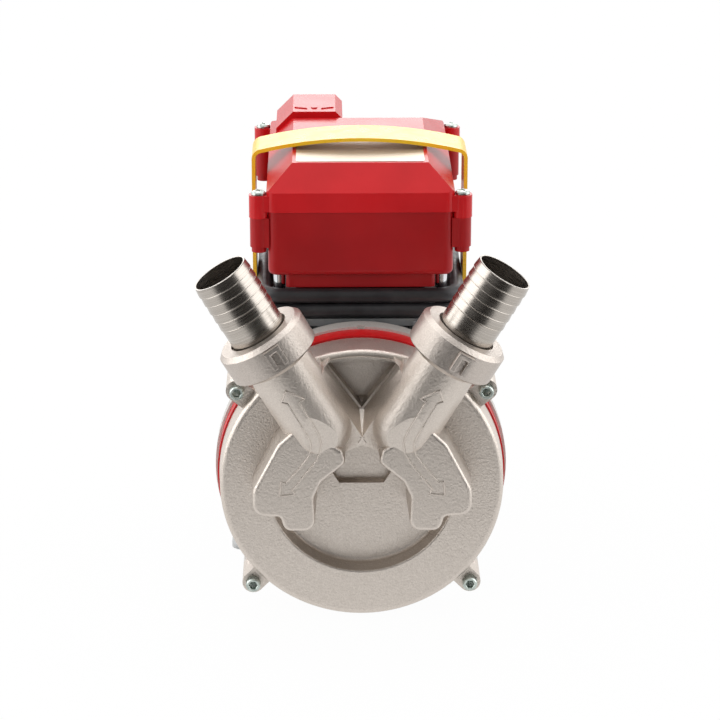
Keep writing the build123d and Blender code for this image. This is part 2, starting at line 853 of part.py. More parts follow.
def make_tie_rods():
    rods = []
    for angle in tie_rod_angles:
        x, z = circle_point(tie_rod_circle, angle)
        rod = bar_along_y(tie_rod_radius - slip_fit, x, z, flange_back - tie_rod_thread, shield_back)
        head = bar_along_y(tie_rod_head_radius, x, z, shield_back, shield_back + tie_rod_head_height)
        rods.append(rod + head)
    return Compound(rods)


def make_cooling_fan():
    hub = collar(fan_seat_radius + slip_fit, fan_hub_radius, fan_front, fan_front + fan_length)
    web = collar(fan_hub_radius - 1, fan_radius - 6, fan_front, fan_front + fan_blade_thickness)
    blade = block(fan_hub_radius - 1, fan_radius, fan_front, fan_front + fan_length,
                  -fan_blade_thickness / 2, fan_blade_thickness / 2)
    return hub + web + [at_angle(360 / fan_blades * i, blade) for i in range(fan_blades)]


def make_fan_cowl():
    body = turned(
        (0, casing_back + casing_gap),
        (cowl_radius, casing_back + casing_gap),
        (cowl_radius, cowl_back - cowl_bevel),
        (cowl_radius - cowl_bevel, cowl_back),
        (0, cowl_back),
    )
    inside = turned(
        (0, casing_back),
        (cowl_radius - cowl_wall, casing_back),
        (cowl_radius - cowl_wall, cowl_back - cowl_bevel),
        (cowl_radius - cowl_bevel - cowl_wall * 0.4, cowl_back - cowl_wall),
        (0, cowl_back - cowl_wall),
    )
    slots = []
    slot_count_in_grille = 24
    for inner, outer, width in ((14, 34, 2.6), (38, 64, 4.2)):
        slot = block(inner, outer, cowl_back - 4, cowl_back + 1, -width / 2, width / 2)
        slots += [at_angle(360 / slot_count_in_grille * i, slot) for i in range(slot_count_in_grille)]
    hole = bar_along_x(cowl_screw_radius + screw_clearance / 2, casing_back + shield_thickness / 2, 0,
                       cowl_radius - 2 * cowl_wall, cowl_radius + 1)
    return body - inside - slots - [at_angle(angle, hole) for angle in cowl_screw_angles]


def make_cowl_screws():
    screws = []
    for angle in cowl_screw_angles:
        place = casing_back + shield_thickness / 2
        tip = cowl_radius - cowl_screw_length
        shank = bar_along_x(cowl_screw_radius - slip_fit, place, 0, tip, cowl_radius)
        top = cowl_radius + cowl_screw_head_height
        head = bar_along_x(cowl_screw_head_radius, place, 0, cowl_radius, top)
        screws.append(at_angle(angle, shank + head))
    return Compound(screws)


# Foot plate: one bent steel strip under the casing
def make_foot_plate():
    line = FilletPolyline((-foot_half_width, floor), (-foot_toe_inner, floor),
                          (-foot_saddle_half_width, saddle_height - foot_thickness),
                          (foot_saddle_half_width, saddle_height - foot_thickness),
                          (foot_toe_inner, floor), (foot_half_width, floor), radius=foot_bend_radius)
    section = make_face(offset(line, amount=foot_thickness, side=Side.LEFT, closed=True))
    plate = slab(section, foot_front, foot_back)
    uprights = plate.edges().filter_by(Axis.Z)
    toes = uprights.filter_by(lambda e: abs(abs(e.center().X) - foot_half_width) < 0.1)
    plate = fillet(toes, foot_corner_radius)
    holes = []
    for side in (-1, 1):
        for end in (-1, 1):
            y = foot_centre + end * foot_bolt_spacing_y / 2
            holes.append(bar_along_z(foot_bolt_hole_radius, side * foot_bolt_spacing_x / 2, y,
                                     floor - 1, floor + foot_thickness + 1))
        for y in saddle_bolts_y:
            holes.append(bar_along_z(saddle_bolt_radius + screw_clearance, side * saddle_bolt_spacing / 2, y,
                                     saddle_height - foot_thickness - 1, saddle_height + 1))
    return plate - holes


def make_saddle_bolts():
    bolts = []
    for side in (-1, 1):
        for y in saddle_bolts_y:
            x = side * saddle_bolt_spacing / 2
            seat = saddle_height - foot_thickness
            hexagon = RegularPolygon(saddle_bolt_head_width / 2, 6, major_radius=False)
            head = Pos(x, y, seat - saddle_bolt_head_height) * extrude(hexagon, saddle_bolt_head_height)
            shank = bar_along_z(saddle_bolt_radius - slip_fit, x, y, seat, seat + saddle_bolt_length)
            bolts.append(head + shank)
    return Compound(bolts)


# Control box: posts, base, lid and their screws
def corner_places(x, front, back):
    return [(side * x, y) for side in (-1, 1) for y in (front, back)]


post_places = corner_places(post_place_x, post_front, post_back)
ear_places = corner_places(ear_place_x, box_front + ear_inset, box_back - ear_inset)


def make_posts():
    posts = []
    for x, y in post_places:
        post = bar_along_z(post_radius, x, y, platform_top, box_floor)
        hole = bar_along_z(post_screw_radius, x, y, box_floor - post_screw_length - 1, box_floor + 1)
        posts.append(post - hole)
    return Compound(posts)


def make_post_screws():
    screws = []
    for x, y in post_places:
        seat = box_floor + box_wall
        screws.append(bar_along_z(post_screw_head_radius, x, y, seat, seat + post_screw_head_height)
                      + bar_along_z(post_screw_radius - slip_fit, x, y, box_floor - post_screw_length, seat))
    return Compound(screws)


def make_box_base():
    body = block(-box_half_width, box_half_width, box_front, box_back, box_floor, box_seam)
    body = fillet(body.edges().filter_by(Axis.Z), box_corner_round)
    body = fillet(body.faces().sort_by(Axis.Z)[0].edges(), box_floor_round)
    inside = block(-box_half_width + box_wall, box_half_width - box_wall,
                   box_front + box_wall, box_back - box_wall, box_floor + box_wall, box_seam + 1)
    inside = fillet(inside.edges().filter_by(Axis.Z), box_corner_round - box_wall)
    neck = block(-neck_half_width, neck_half_width, box_front + neck_setback, box_back - neck_setback,
                 neck_bottom, box_floor + 1)
    neck = fillet(neck.edges().filter_by(Axis.Z), 3)
    neck_inside = block(-neck_half_width + box_wall, neck_half_width - box_wall,
                        box_front + neck_setback + box_wall, box_back - neck_setback - box_wall,
                        gear_floor, box_floor + box_wall + 1)
    wire_way = block(-wire_way_half_width, wire_way_half_width, duct_front + 10, duct_back - 10,
                     neck_bottom - 1, gear_floor + 1)
    ears = []
    holes = []
    for x, y in ear_places:
        side = math.copysign(1, x)
        ears.append(bar_along_z(ear_base_radius, x, y, ear_bottom, ear_seam))
        ears.append(bar_along_z(ear_nub_radius, x, y, ear_bottom - ear_nub_length, ear_bottom))
        ears.append(block(side * (box_half_width - 1), x, y - ear_base_radius + 1, y + ear_base_radius - 1,
                          ear_bottom, ear_seam))
        holes.append(bar_along_z(lid_screw_radius, x, y, ear_top - lid_screw_length - 1, box_seam + 1))
    for x, y in post_places:
        holes.append(bar_along_z(post_screw_radius + screw_clearance / 2, x, y,
                                 box_floor - 1, box_floor + box_wall + 1))
    return body - inside + neck - neck_inside - wire_way + ears - holes


def lid_form(inset):
    """The lid's outside form, or its hollow, as two roof outlines crossed."""
    half = box_half_width + lid_overhang
    ridge = box_half_width - lid_slope
    across = Polyline((-half, box_seam), (-half, lid_skirt_top), (-ridge, lid_top), (ridge, lid_top),
                      (half, lid_skirt_top), (half, box_seam), close=True)
    along = Polyline((lid_front, box_seam), (lid_front, lid_skirt_top), (box_front + lid_slope, lid_top),
                     (lid_flat_back, lid_top), (lid_back, lid_skirt_top), (lid_back, box_seam), close=True)
    across = make_face(across)
    along = make_face(along)
    if inset:
        across = offset(across, amount=-inset, kind=Kind.INTERSECTION)
        along = offset(along, amount=-inset, kind=Kind.INTERSECTION)
    crosswise = slab(across, lid_front - 1, lid_back + 1)
    lengthwise = extrude(Plane.YZ.offset(-half - 1) * along, 2 * half + 2)
    return crosswise & lengthwise


def turret_form(inset, back):
    """The raised housing of the reversing switch at the lid's rear left, its outer side sloped."""
    low = box_seam + box_wall + 1
    left = turret_left + inset
    right = turret_right - inset
    top = turret_top - inset
    outline = Polyline((left, low), (left, top - turret_slope), (left + turret_slope, top),
                       (right - turret_bevel, top), (right, top - turret_bevel), (right, low), close=True)
    return slab(make_face(outline), turret_front + inset, back)


def make_box_lid():
    body = lid_form(0)
    uprights = body.edges().filter_by(Axis.Z)
    body = fillet(uprights, box_corner_round)
    body = body + turret_form(0, lid_back)
    skirt_inside = block(-box_half_width + box_wall, box_half_width - box_wall, box_front + box_wall,
                         box_back - box_wall, box_seam - 1, box_seam + box_wall + 1)
    hollow = lid_form(box_wall + lid_overhang) + skirt_inside + turret_form(box_wall, box_back - box_wall)
    plate_bed = block(-plate_half_width, plate_half_width, plate_front, plate_back,
                      lid_top - plate_thickness, lid_top + 1)
    beside_base = block(-box_half_width - slip_fit, box_half_width + slip_fit, box_front, box_back,
                        ear_seam - 1, box_seam)
    ears = []
    holes = [bar_along_y(switch_shaft_radius + running_gap, switch_place_x, switch_place_z,
                         box_back - box_wall - 1, lid_back + 1)]
    for x, y in ear_places:
        side = math.copysign(1, x)
        ears.append(bar_along_z(ear_radius, x, y, ear_seam, ear_top) - beside_base)
        ears.append(block(side * (box_half_width - 1), x, y - ear_radius + 1, y + ear_radius - 1,
                          box_seam, ear_top))
        holes.append(bar_along_z(lid_screw_radius + screw_clearance, x, y, ear_seam - 1, ear_top + 1))
    groove = lid_gasket_ring(slip_fit, lid_gasket_height)
    return body + ears - hollow - plate_bed - holes - groove


def lid_gasket_ring(clearance, height):
    outer = box_half_width - box_wall / 2 + lid_gasket_width / 2 + clearance
    inner = box_half_width - box_wall / 2 - lid_gasket_width / 2 - clearance
    inset_outer = box_half_width - outer
    inset_inner = box_half_width - inner
    ring_out = block(-outer, outer, box_front + inset_outer, box_back - inset_outer,
                     box_seam, box_seam + height)
    ring_in = block(-inner, inner, box_front + inset_inner, box_back - inset_inner,
                    box_seam - 1, box_seam + height + 1)
    ring_out = fillet(ring_out.edges().filter_by(Axis.Z), box_corner_round - inset_outer)
    ring_in = fillet(ring_in.edges().filter_by(Axis.Z), box_corner_round - inset_inner)
    return ring_out - ring_in


def make_lid_screws():
    screws = []
    for x, y in ear_places:
        head = bar_along_z(lid_screw_head_radius, x, y, ear_top, ear_top + lid_screw_head_height)
        head = fillet(head.edges().sort_by(Axis.Z)[-1], 1.4)
        head = head + bar_along_z(lid_screw_radius - slip_fit, x, y, ear_top - lid_screw_length, ear_top)
        cross = ear_top + lid_screw_head_height
        head = head - block(x - 2.6, x + 2.6, y - 0.5, y + 0.5, cross - 1.4, cross + 1)
        screws.append(head - block(x - 0.5, x + 0.5, y - 2.6, y + 2.6, cross - 1.4, cross + 1))
    return Compound(screws)


# Control gear inside the box
def make_capacitor():
    can = bar_along_y(capacitor_radius, capacitor_place_x, capacitor_height,
                      capacitor_front, capacitor_front + capacitor_length)
    can = fillet(can.edges().filter_by(GeomType.CIRCLE), 2)
    tabs = [block(capacitor_place_x + dx - 3, capacitor_place_x + dx + 3,
                  capacitor_front - 8, capacitor_front + 1,
                  capacitor_height - 0.4, capacitor_height + 0.4) for dx in (-7, 7)]
    return can + tabs


def make_capacitor_clamp():
    middle = capacitor_front + capacitor_length / 2
    front, back = middle - clamp_width / 2, middle + clamp_width / 2
    outer = bar_along_y(capacitor_radius + slip_fit + clamp_thickness, capacitor_place_x, capacitor_height,
                        front, back)
    foot = block(capacitor_place_x - capacitor_radius - 8, capacitor_place_x + 4, front, back,
                 gear_floor, gear_floor + clamp_thickness)
    body = outer + foot
    body = body - block(-100, 100, front - 1, back + 1, gear_floor - 20, gear_floor)
    can = bar_along_y(capacitor_radius + slip_fit, capacitor_place_x, capacitor_height, front - 1, back + 1)
    return body - can


def make_terminal_block():
    x, y = terminal_place_x, terminal_place_y
    body = block(x - terminal_width / 2, x + terminal_width / 2,
                 y - terminal_depth / 2, y + terminal_depth / 2,
                 gear_floor, gear_floor + terminal_height)
    wells = []
    ways = 4
    for i in range(ways):
        wx = x - terminal_width / 2 + terminal_width / ways * (i + 0.5)
        for row in (-terminal_depth / 4, terminal_depth / 4):
            wells.append(bar_along_z(terminal_well_radius, wx, y + row,
                                     gear_floor + terminal_well_floor, gear_floor + terminal_height + 1))
    return body - wells


def make_switch_body():
    half = switch_body_width / 2
    back = box_back - box_wall
    body = block(switch_place_x - half, switch_place_x + half, back - switch_body_length, back,
                 switch_place_z - half, switch_place_z + half)
    bore = bar_along_y(switch_shaft_radius + slip_fit, switch_place_x, switch_place_z, back - 20, back + 1)
    return body - bore


def make_switch_knob():
    front = lid_back + running_gap
    skirt = bar_along_y(knob_radius, switch_place_x, switch_place_z, front, front + knob_skirt)
    skirt = fillet(skirt.edges().filter_by(GeomType.CIRCLE).sort_by(Axis.Y)[-1], 1.5)
    grip = block(switch_place_x - knob_grip_width / 2, switch_place_x + knob_grip_width / 2,
                 front + knob_skirt - 1, front + knob_skirt + knob_grip_length,
                 switch_place_z - knob_radius + 1.5, switch_place_z + knob_radius - 1.5)
    grip = fillet(grip.edges().filter_by(Axis.Y), 2.5)
    bore = bar_along_y(switch_shaft_radius + slip_fit, switch_place_x, switch_place_z,
                       front - 1, front + knob_skirt * 2)
    return skirt + grip - bore


# Wire duct and the gland that the supply cord leaves by
def make_wire_duct():
    outer = block(-duct_half_width, duct_half_width, duct_front, duct_back, platform_top, neck_bottom)
    outer = fillet(outer.edges().filter_by(Axis.Z), 5)
    inner = block(-duct_half_width + duct_wall, duct_half_width - duct_wall, duct_front + duct_wall,
                  duct_back - duct_wall, platform_top - 1, neck_bottom + 1)
    hole = bar_along_y(gland_thread_radius + slip_fit, gland_place_x, gland_height,
                       duct_back - gland_thread_length, duct_back + 1)
    return outer - inner - hole


def hexagon_along_y(width, x, z, front, back):
    return slab(make_face(Pos(x, z) * RegularPolygon(width / 2, 6, major_radius=False)), front, back)


def make_cable_gland():
    hex_back = duct_back + gland_hex_length
    body = hexagon_along_y(gland_hex_width, gland_place_x, gland_height, duct_back, hex_back)
    body = body + bar_along_y(gland_thread_radius, gland_place_x, gland_height,
                              duct_back - gland_thread_length, duct_back)
    body = body + bar_along_y(gland_nut_radius - 1.5, gland_place_x, gland_height,
                              hex_back, hex_back + gland_stem_length)
    return body - bar_along_y(cord_radius + slip_fit, gland_place_x, gland_height,
                              duct_back - gland_thread_length - 1, hex_back + gland_stem_length + 1)


def make_gland_nut():
    front = duct_back + gland_hex_length
    back = front + gland_nut_length
    body = turned((0, front), (gland_nut_radius, front), (gland_nut_radius, back - gland_nose_length),
                  (gland_nose_radius, back), (0, back))
    body = Pos(gland_place_x, 0, gland_height) * body
    body = body - bar_along_y(gland_nut_radius - 1.5 + slip_fit, gland_place_x, gland_height,
                              front - 1, front + gland_stem_length)
    return body - bar_along_y(cord_radius + slip_fit, gland_place_x, gland_height, front, back + 1)


def make_gland_locknut():
    back = duct_back - duct_wall
    nut = hexagon_along_y(gland_hex_width, gland_place_x, gland_height, back - 4, back)
    bore = bar_along_y(gland_thread_radius + slip_fit, gland_place_x, gland_height, back - 5, back + 1)
    return nut - bore


# Supply cord: the stretch out of the gland, the winding round the posts, and the tail to the plug
lead_route = [
    (gland_place_x, duct_back + gland_hex_length + gland_nut_length, gland_height),
    (gland_place_x, wind_back - cord_radius, gland_height),
]
tail_route = [
    (wind_side, wind_back - cord_radius, wind_lower),
    (wind_side, 262, wind_lower),
    (65, 292, 86),
    (64, 310, 56),
    (64, 313, 6),
    (64, 311, -46),
    (32.6, 295, floor + plug_radius),
    (-12, 272, floor + plug_radius),
]


def cord_tube(route):
    points = [Vector(*point) for point in route]
    if len(points) == 2:
        path = Line(points[0], points[1])
    else:
        radii = []
        for before, here, after in zip(points, points[1:], points[2:]):
            turn = (here - before).get_angle(after - here)
            shorter = min((here - before).length, (after - here).length)
            radii.append(0.45 * shorter / math.tan(math.radians(turn / 2)))
        print("cord arc radii", [round(r, 1) for r in radii])
        path = FilletPolyline(*points, radius=radii)
    start = Plane(origin=path @ 0, z_dir=path % 0)
    tube = sweep(start * Circle(cord_radius), path=path)
    print("cord run", round(path.length, 1), "volume over section by length",
          round(tube.volume / (math.pi * cord_radius ** 2 * path.length), 4))
    return tube


def make_cord_winding():
    low = wind_lower - cord_radius
    high = wind_upper + cord_radius
    outer = block(-wind_side - cord_radius, wind_side + cord_radius, wind_front - cord_radius,
                  wind_back + cord_radius, low, high)
    outer = fillet(outer.edges().filter_by(Axis.Z), wind_corner_radius + cord_radius)
    inner = block(-wind_side + cord_radius, wind_side - cord_radius, wind_front + cord_radius,
                  wind_back - cord_radius, low - 1, high + 1)
    inner = fillet(inner.edges().filter_by(Axis.Z), wind_corner_radius - cord_radius)
    return outer - inner


def plug_place():
    end = tail_route[-1]
    before = tail_route[-2]
    turn = math.degrees(math.atan2(before[1] - end[1], before[0] - end[0]))
    return Pos(*end) * Rot(0, 0, turn + 180) * Rot(0, 0, -90)


def make_plug():
    body = turned(
        (0, 0),
        (plug_relief_radius, 0),
        (plug_relief_radius + 2, plug_relief_length),
        (plug_radius - 3, plug_relief_length + 6),
        (plug_radius, plug_relief_length + 14),
        (plug_radius, plug_relief_length + plug_length),
        (0, plug_relief_length + plug_length),
    )
    face = plug_relief_length + plug_length
    holes = [bar_along_y(plug_pin_radius + slip_fit, side * plug_pin_spacing / 2, 0, face - 10, face + 1)
             for side in (-1, 1)]
    return plug_place() * (body - holes)


def make_plug_pins():
    face = plug_relief_length + plug_length
    pins = []
    for side in (-1, 1):
        pin = bar_along_y(plug_pin_radius, side * plug_pin_spacing / 2, 0, face - 10, face + plug_pin_length)
        pins.append(plug_place() * fillet(pin.edges().filter_by(GeomType.CIRCLE).sort_by(Axis.Y)[-1], 1.5))
    return Compound(pins)


# Strap handle: one flexible band arched over the box, screwed to the platform's side pads
def make_strap_handle():
    outer_x = strap_inner_x + strap_thickness
    outer_corner = strap_corner_height + strap_thickness
    crown = (0, strap_crown_height + strap_thickness)
    arch = ThreePointArc((outer_x, outer_corner), crown, (-outer_x, outer_corner))
    sides = Polyline((-outer_x, outer_corner), (-outer_x, strap_bottom),
                     (outer_x, strap_bottom), (outer_x, outer_corner))
    outside = make_face([arch, sides])
    top_corners = outside.vertices().filter_by(lambda v: v.Y > strap_screw_height)
    outside = fillet(top_corners, strap_corner_round)
    inside = offset(outside, amount=-strap_thickness)
    inside = inside + Pos(0, strap_bottom + 2) * Rectangle(2 * strap_inner_x, 30)
    band = slab(outside - inside, strap_front, strap_back)
    ends = band.edges().filter_by(Axis.X).filter_by(lambda e: e.center().Z < strap_bottom + 0.1)
    band = fillet(ends, strap_end_round)
    holes = [bar_along_x(strap_screw_radius + screw_clearance, strap_middle, strap_screw_height,
                         side * (strap_inner_x - 1), side * (outer_x + 1)) for side in (-1, 1)]
    return band - holes


def make_strap_screws():
    screws = []
    for side in (-1, 1):
        seat = strap_inner_x + strap_thickness
        shank = bar_along_x(strap_screw_radius - slip_fit, strap_middle, strap_screw_height,
                            side * (strap_inner_x - strap_screw_length), side * seat)
        head = bar_along_x(strap_screw_head_radius, strap_middle, strap_screw_height,
                           side * seat, side * (seat + strap_screw_head_height))
        screws.append(shank + head)
    return Compound(screws)


# Port fittings: gasket, hose tail and union nut, alike on both sides
def make_port_gasket():
    return port_turned((neck_bore_radius + 0.5, neck_end), (tail_flange_radius, neck_end),
                       (tail_flange_radius, port_gasket_end), (neck_bore_radius + 0.5, port_gasket_end))


def make_hose_tail():
    profile = [(tail_bore_radius, port_gasket_end), (tail_flange_radius, port_gasket_end),
               (tail_flange_radius, tail_shoulder), (tail_root_radius, tail_shoulder),
               (tail_root_radius, tail_shoulder + tail_root_length)]
    for i in range(tail_ridges):
        foot = tail_shoulder + tail_root_length + i * tail_ridge_pitch
        profile += [(tail_crest_radius, foot), (tail_crest_radius, foot + tail_ridge_land),
                    (tail_valley_radius, foot + tail_ridge_pitch)]
    profile.append((tail_bore_radius, tail_mouth))
    return port_turned(*profile)


def make_union_nut(lug_angle):
    inner_top = tail_root_radius + 1.4
    union_end = union_start + union_length
    body = port_turned(
        (port_thread_radius + slip_fit * 2, union_start),
        (union_radius - 1, union_start),
        (union_radius, union_start + 1),
        (union_radius, union_end - union_chamfer),
        (union_radius - union_chamfer, union_end),
        (inner_top, union_end),
        (inner_top, tail_shoulder + slip_fit),
        (port_thread_radius + slip_fit * 2, tail_shoulder + slip_fit),
    )
    middle = union_start + union_length / 2
    lug = block(-union_lug_width / 2, union_lug_width / 2, -union_radius - union_lug_proud, -union_radius + 2,
                middle - union_lug_height / 2, middle + union_lug_height / 2)
    slot = block(-2, 2.4, -union_radius - union_lug_proud - 1, -union_radius - 0.2,
                 middle - union_lug_height / 2 - 1, middle + union_lug_height / 2 - 3)
    return body + Rot(0, 0, lug_angle) * (lug - slot)


parts = {}
parts["front_cover"] = make_front_cover()
parts["cover_gasket"] = collar(chamber_radius + 4, cover_face_radius - 1, cover_depth, chamber_front)
parts["chamber_ring"] = make_chamber_ring()
parts["rear_flange"] = make_rear_flange()
parts["cover_screws"] = make_cover_screws()
parts["impeller"] = make_impeller()
parts["impeller_nut"] = make_impeller_nut()
parts["impeller_key"] = key_space(0)
parts["shaft"] = make_shaft()
parts["seal_seat"] = collar(seal_seat_radius_on_shaft + 1.0, seal_ring_radius, seal_face, seal_back)
parts["seal_head"] = make_seal_head()
parts["seal_spring"] = make_seal_spring()
for place, front in (("front", front_bearing_front), ("rear", rear_bearing_front)):
    outer, inner, balls = bearing_pieces(front)
    parts[place + "_bearing_outer_ring"] = outer
    parts[place + "_bearing_inner_ring"] = inner
    parts[place + "_bearing_balls"] = balls
preload_back = hub_back - shield_floor
parts["bearing_preload_washer"] = turned(
    (preload_inner_radius, preload_back - preload_thickness),
    (preload_outer_radius, rear_bearing_back),
    (preload_outer_radius, rear_bearing_back + preload_thickness),
    (preload_inner_radius, preload_back),
)
parts["rotor_core"] = collar(rotor_seat_radius, rotor_radius, core_front, core_back)
parts["rotor_end_rings"] = make_rotor_end_rings()
parts["stator_core"] = make_stator_core()
parts["stator_windings"] = make_stator_windings()
parts["motor_casing"] = make_motor_casing()
parts["rear_end_shield"] = make_rear_shield()
parts["tie_rods"] = make_tie_rods()
parts["cooling_fan"] = make_cooling_fan()
parts["fan_cowl"] = make_fan_cowl()
parts["fan_cowl_screws"] = make_cowl_screws()
parts["foot_plate"] = make_foot_plate()
parts["saddle_bolts"] = make_saddle_bolts()
parts["box_posts"] = make_posts()
parts["post_screws"] = make_post_screws()
parts["wire_duct"] = make_wire_duct()
parts["cable_gland"] = make_cable_gland()
parts["gland_nut"] = make_gland_nut()
parts["gland_locknut"] = make_gland_locknut()
parts["box_base"] = make_box_base()
parts["box_lid"] = make_box_lid()
parts["lid_gasket"] = lid_gasket_ring(0, lid_gasket_height)
parts["lid_screws"] = make_lid_screws()
parts["rating_plate"] = block(-plate_half_width, plate_half_width, plate_front, plate_back,
                              lid_top - plate_thickness, lid_top)
parts["capacitor"] = make_capacitor()
parts["capacitor_clamp"] = make_capacitor_clamp()
parts["terminal_block"] = make_terminal_block()
parts["switch_body"] = make_switch_body()
parts["switch_shaft"] = bar_along_y(switch_shaft_radius, switch_place_x, switch_place_z,
                                    box_back - box_wall - 20 + running_gap,
                                    lid_back + running_gap + knob_skirt * 2)
parts["switch_knob"] = make_switch_knob()
parts["strap_handle"] = make_strap_handle()
parts["strap_screws"] = make_strap_screws()
for side, name, lug_angle in ((-1, "left", 12), (1, "right", 5)):
    place = port_place(side)
    parts["hose_tail_" + name] = place * make_hose_tail()
    parts["union_nut_" + name] = place * make_union_nut(lug_angle)
parts["port_gaskets"] = Compound([port_place(side) * make_port_gasket() for side in (-1, 1)])
parts["cord_lead"] = cord_tube(lead_route)
parts["cord_winding"] = make_cord_winding()
parts["cord_tail"] = cord_tube(tail_route) - parts["cord_winding"]
parts["plug"] = make_plug()
parts["plug_pins"] = make_plug_pins()

os.makedirs("parts", exist_ok=True)
set_down = Pos(0, -foot_centre, shaft_height)
for name, piece in parts.items():
    export_step(set_down * piece, os.path.join("parts", name + ".step"))
print(len(parts), "nodes written")
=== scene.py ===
import bpy
import bmesh
import math
from mathutils import Matrix, Vector
from mathutils.bvhtree import BVHTree


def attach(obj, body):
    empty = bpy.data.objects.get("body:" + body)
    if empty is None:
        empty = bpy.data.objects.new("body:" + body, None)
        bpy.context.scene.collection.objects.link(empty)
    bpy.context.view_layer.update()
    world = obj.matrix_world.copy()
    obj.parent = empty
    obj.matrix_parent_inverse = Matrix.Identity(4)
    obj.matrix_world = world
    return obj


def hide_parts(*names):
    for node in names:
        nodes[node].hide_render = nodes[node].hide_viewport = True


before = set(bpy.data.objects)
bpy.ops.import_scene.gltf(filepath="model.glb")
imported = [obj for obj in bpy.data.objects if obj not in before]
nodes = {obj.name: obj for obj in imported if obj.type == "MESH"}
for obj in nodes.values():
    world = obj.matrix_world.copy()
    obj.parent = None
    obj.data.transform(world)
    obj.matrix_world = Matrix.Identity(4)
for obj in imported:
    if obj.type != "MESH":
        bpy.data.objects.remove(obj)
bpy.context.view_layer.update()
scene = bpy.context.scene

# Where the pump is looked at from: a long lens, a little to the left of the shaft line and about
# twenty degrees above it, with the cover's face turned to the viewer.
camera_place = Vector((-0.0250, -1.9095, 0.7990))
camera_target = Vector((-0.0008, -0.1449, 0.1808))
camera_data = bpy.data.cameras.new("front_camera")
camera_data.lens = 140.0
camera_data.sensor_width = 36.0
camera_data.clip_end = 20.0
camera = bpy.data.objects.new("front_camera", camera_data)
camera.location = camera_place
camera.rotation_euler = (camera_target - camera_place).to_track_quat("-Z", "Y").to_euler()
scene.collection.objects.link(camera)
scene.camera = camera

# The supply cord: a round rubber-sheathed cable, pushed out of a gland behind the wire duct, wound
# nearly twice round the four posts and let down behind the motor to its plug.
foot_centre = 172.5
shaft_height = 102.0
cord_radius = 5.1
gland_place = 28.0
gland_height = 108.95
post_corner = (51.447, 72.253)
post_corner_back = 217.747
wind_radius = 14.0
wind_swell = 1.035
wind_side = 65.447
wind_back = 231.747
wind_lower = 103.7
wind_upper = 114.2
crossing_upper = wind_upper - 3.5
crossing_lower = wind_lower + 2.5


def at(x, y, z):
    """A point in metres, from millimetres off the shaft line and the cover's front face."""
    return Vector((x / 1000, (y - foot_centre) / 1000, (z + shaft_height) / 1000))


def paint(red, green, blue):
    """A linear colour from the 0 to 255 values that a paint chart gives."""
    channels = []
    for value in (red, green, blue):
        value = value / 255
        channels.append(value / 12.92 if value <= 0.04045 else ((value + 0.055) / 1.055) ** 2.4)
    return (*channels, 1.0)


def finish(name, roughness, metallic=0.0, coat=0.0, specular=0.5):
    """A new material, with the values that are the same all over it."""
    material = bpy.data.materials.new(name)
    material.use_nodes = True
    tree = material.node_tree
    shader = tree.nodes["Principled BSDF"]
    shader.inputs["Roughness"].default_value = roughness
    shader.inputs["Metallic"].default_value = metallic
    shader.inputs["Coat Weight"].default_value = coat
    shader.inputs["Coat Roughness"].default_value = 0.08
    shader.inputs["Specular IOR Level"].default_value = specular
    return material


def place_on(material, turn=(0, 0, 0), stretch=(1, 1, 1)):
    """Object coordinates, turned and then stretched, as the start of a pattern."""
    tree = material.node_tree
    where = tree.nodes.new("ShaderNodeTexCoord").outputs["Object"]
    for kind, amount in (("Rotation", turn), ("Scale", stretch)):
        mapping = tree.nodes.new("ShaderNodeMapping")
        mapping.inputs[kind].default_value = amount
        tree.links.new(where, mapping.inputs["Vector"])
        where = mapping.outputs["Vector"]
    return where


def noise(material, where, scale, detail=3.0):
    """A cloudy pattern, with scale in clouds to the metre."""
    texture = material.node_tree.nodes.new("ShaderNodeTexNoise")
    texture.inputs["Scale"].default_value = scale
    texture.inputs["Detail"].default_value = detail
    material.node_tree.links.new(where, texture.inputs["Vector"])
    return texture.outputs["Fac"]


def shade(material, pattern, dark, light, low=0.35, high=0.65):
    """Lets the base colour wander between two tones."""
    tree = material.node_tree
    ramp = tree.nodes.new("ShaderNodeValToRGB")
    ramp.color_ramp.elements[0].position = low
    ramp.color_ramp.elements[0].color = dark
    ramp.color_ramp.elements[1].position = high
    ramp.color_ramp.elements[1].color = light
    tree.links.new(pattern, ramp.inputs["Fac"])
    tree.links.new(ramp.outputs["Color"], tree.nodes["Principled BSDF"].inputs["Base Color"])


def grain(material, pattern, depth, strength=1.0):
    """Raises the surface by a pattern; a second grain lies on top of the first."""
    tree = material.node_tree
    bump = tree.nodes.new("ShaderNodeBump")
    bump.inputs["Strength"].default_value = strength
    bump.inputs["Distance"].default_value = depth
    tree.links.new(pattern, bump.inputs["Height"])
    normal = tree.nodes["Principled BSDF"].inputs["Normal"]
    if normal.links:
        tree.links.new(normal.links[0].from_socket, bump.inputs["Normal"])
    tree.links.new(bump.outputs["Normal"], normal)


def wear(material, pattern, smooth, rough, low=0.3, high=0.7):
    """Lets the roughness wander between two values."""
    tree = material.node_tree
    span = tree.nodes.new("ShaderNodeMapRange")
    span.inputs["From Min"].default_value = low
    span.inputs["From Max"].default_value = high
    span.inputs["To Min"].default_value = smooth
    span.inputs["To Max"].default_value = rough
    tree.links.new(pattern, span.inputs["Value"])
    tree.links.new(span.outputs["Result"], tree.nodes["Principled BSDF"].inputs["Roughness"])


def dress(material, *names):
    """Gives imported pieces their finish."""
    for name in names:
        mesh = nodes[name].data
        mesh.materials.clear()
        mesh.materials.append(material)


def corner_turn(points, centre_x, centre_y, start, height):
    """Four points round one post, a quarter turn the way the cord is wound."""
    wide = wind_radius * wind_swell
    for step, radius in ((0, wind_radius), (30, wide), (60, wide), (90, wind_radius)):
        angle = math.radians(start + step)
        points.append((centre_x + radius * math.cos(angle), centre_y + radius * math.sin(angle), height))


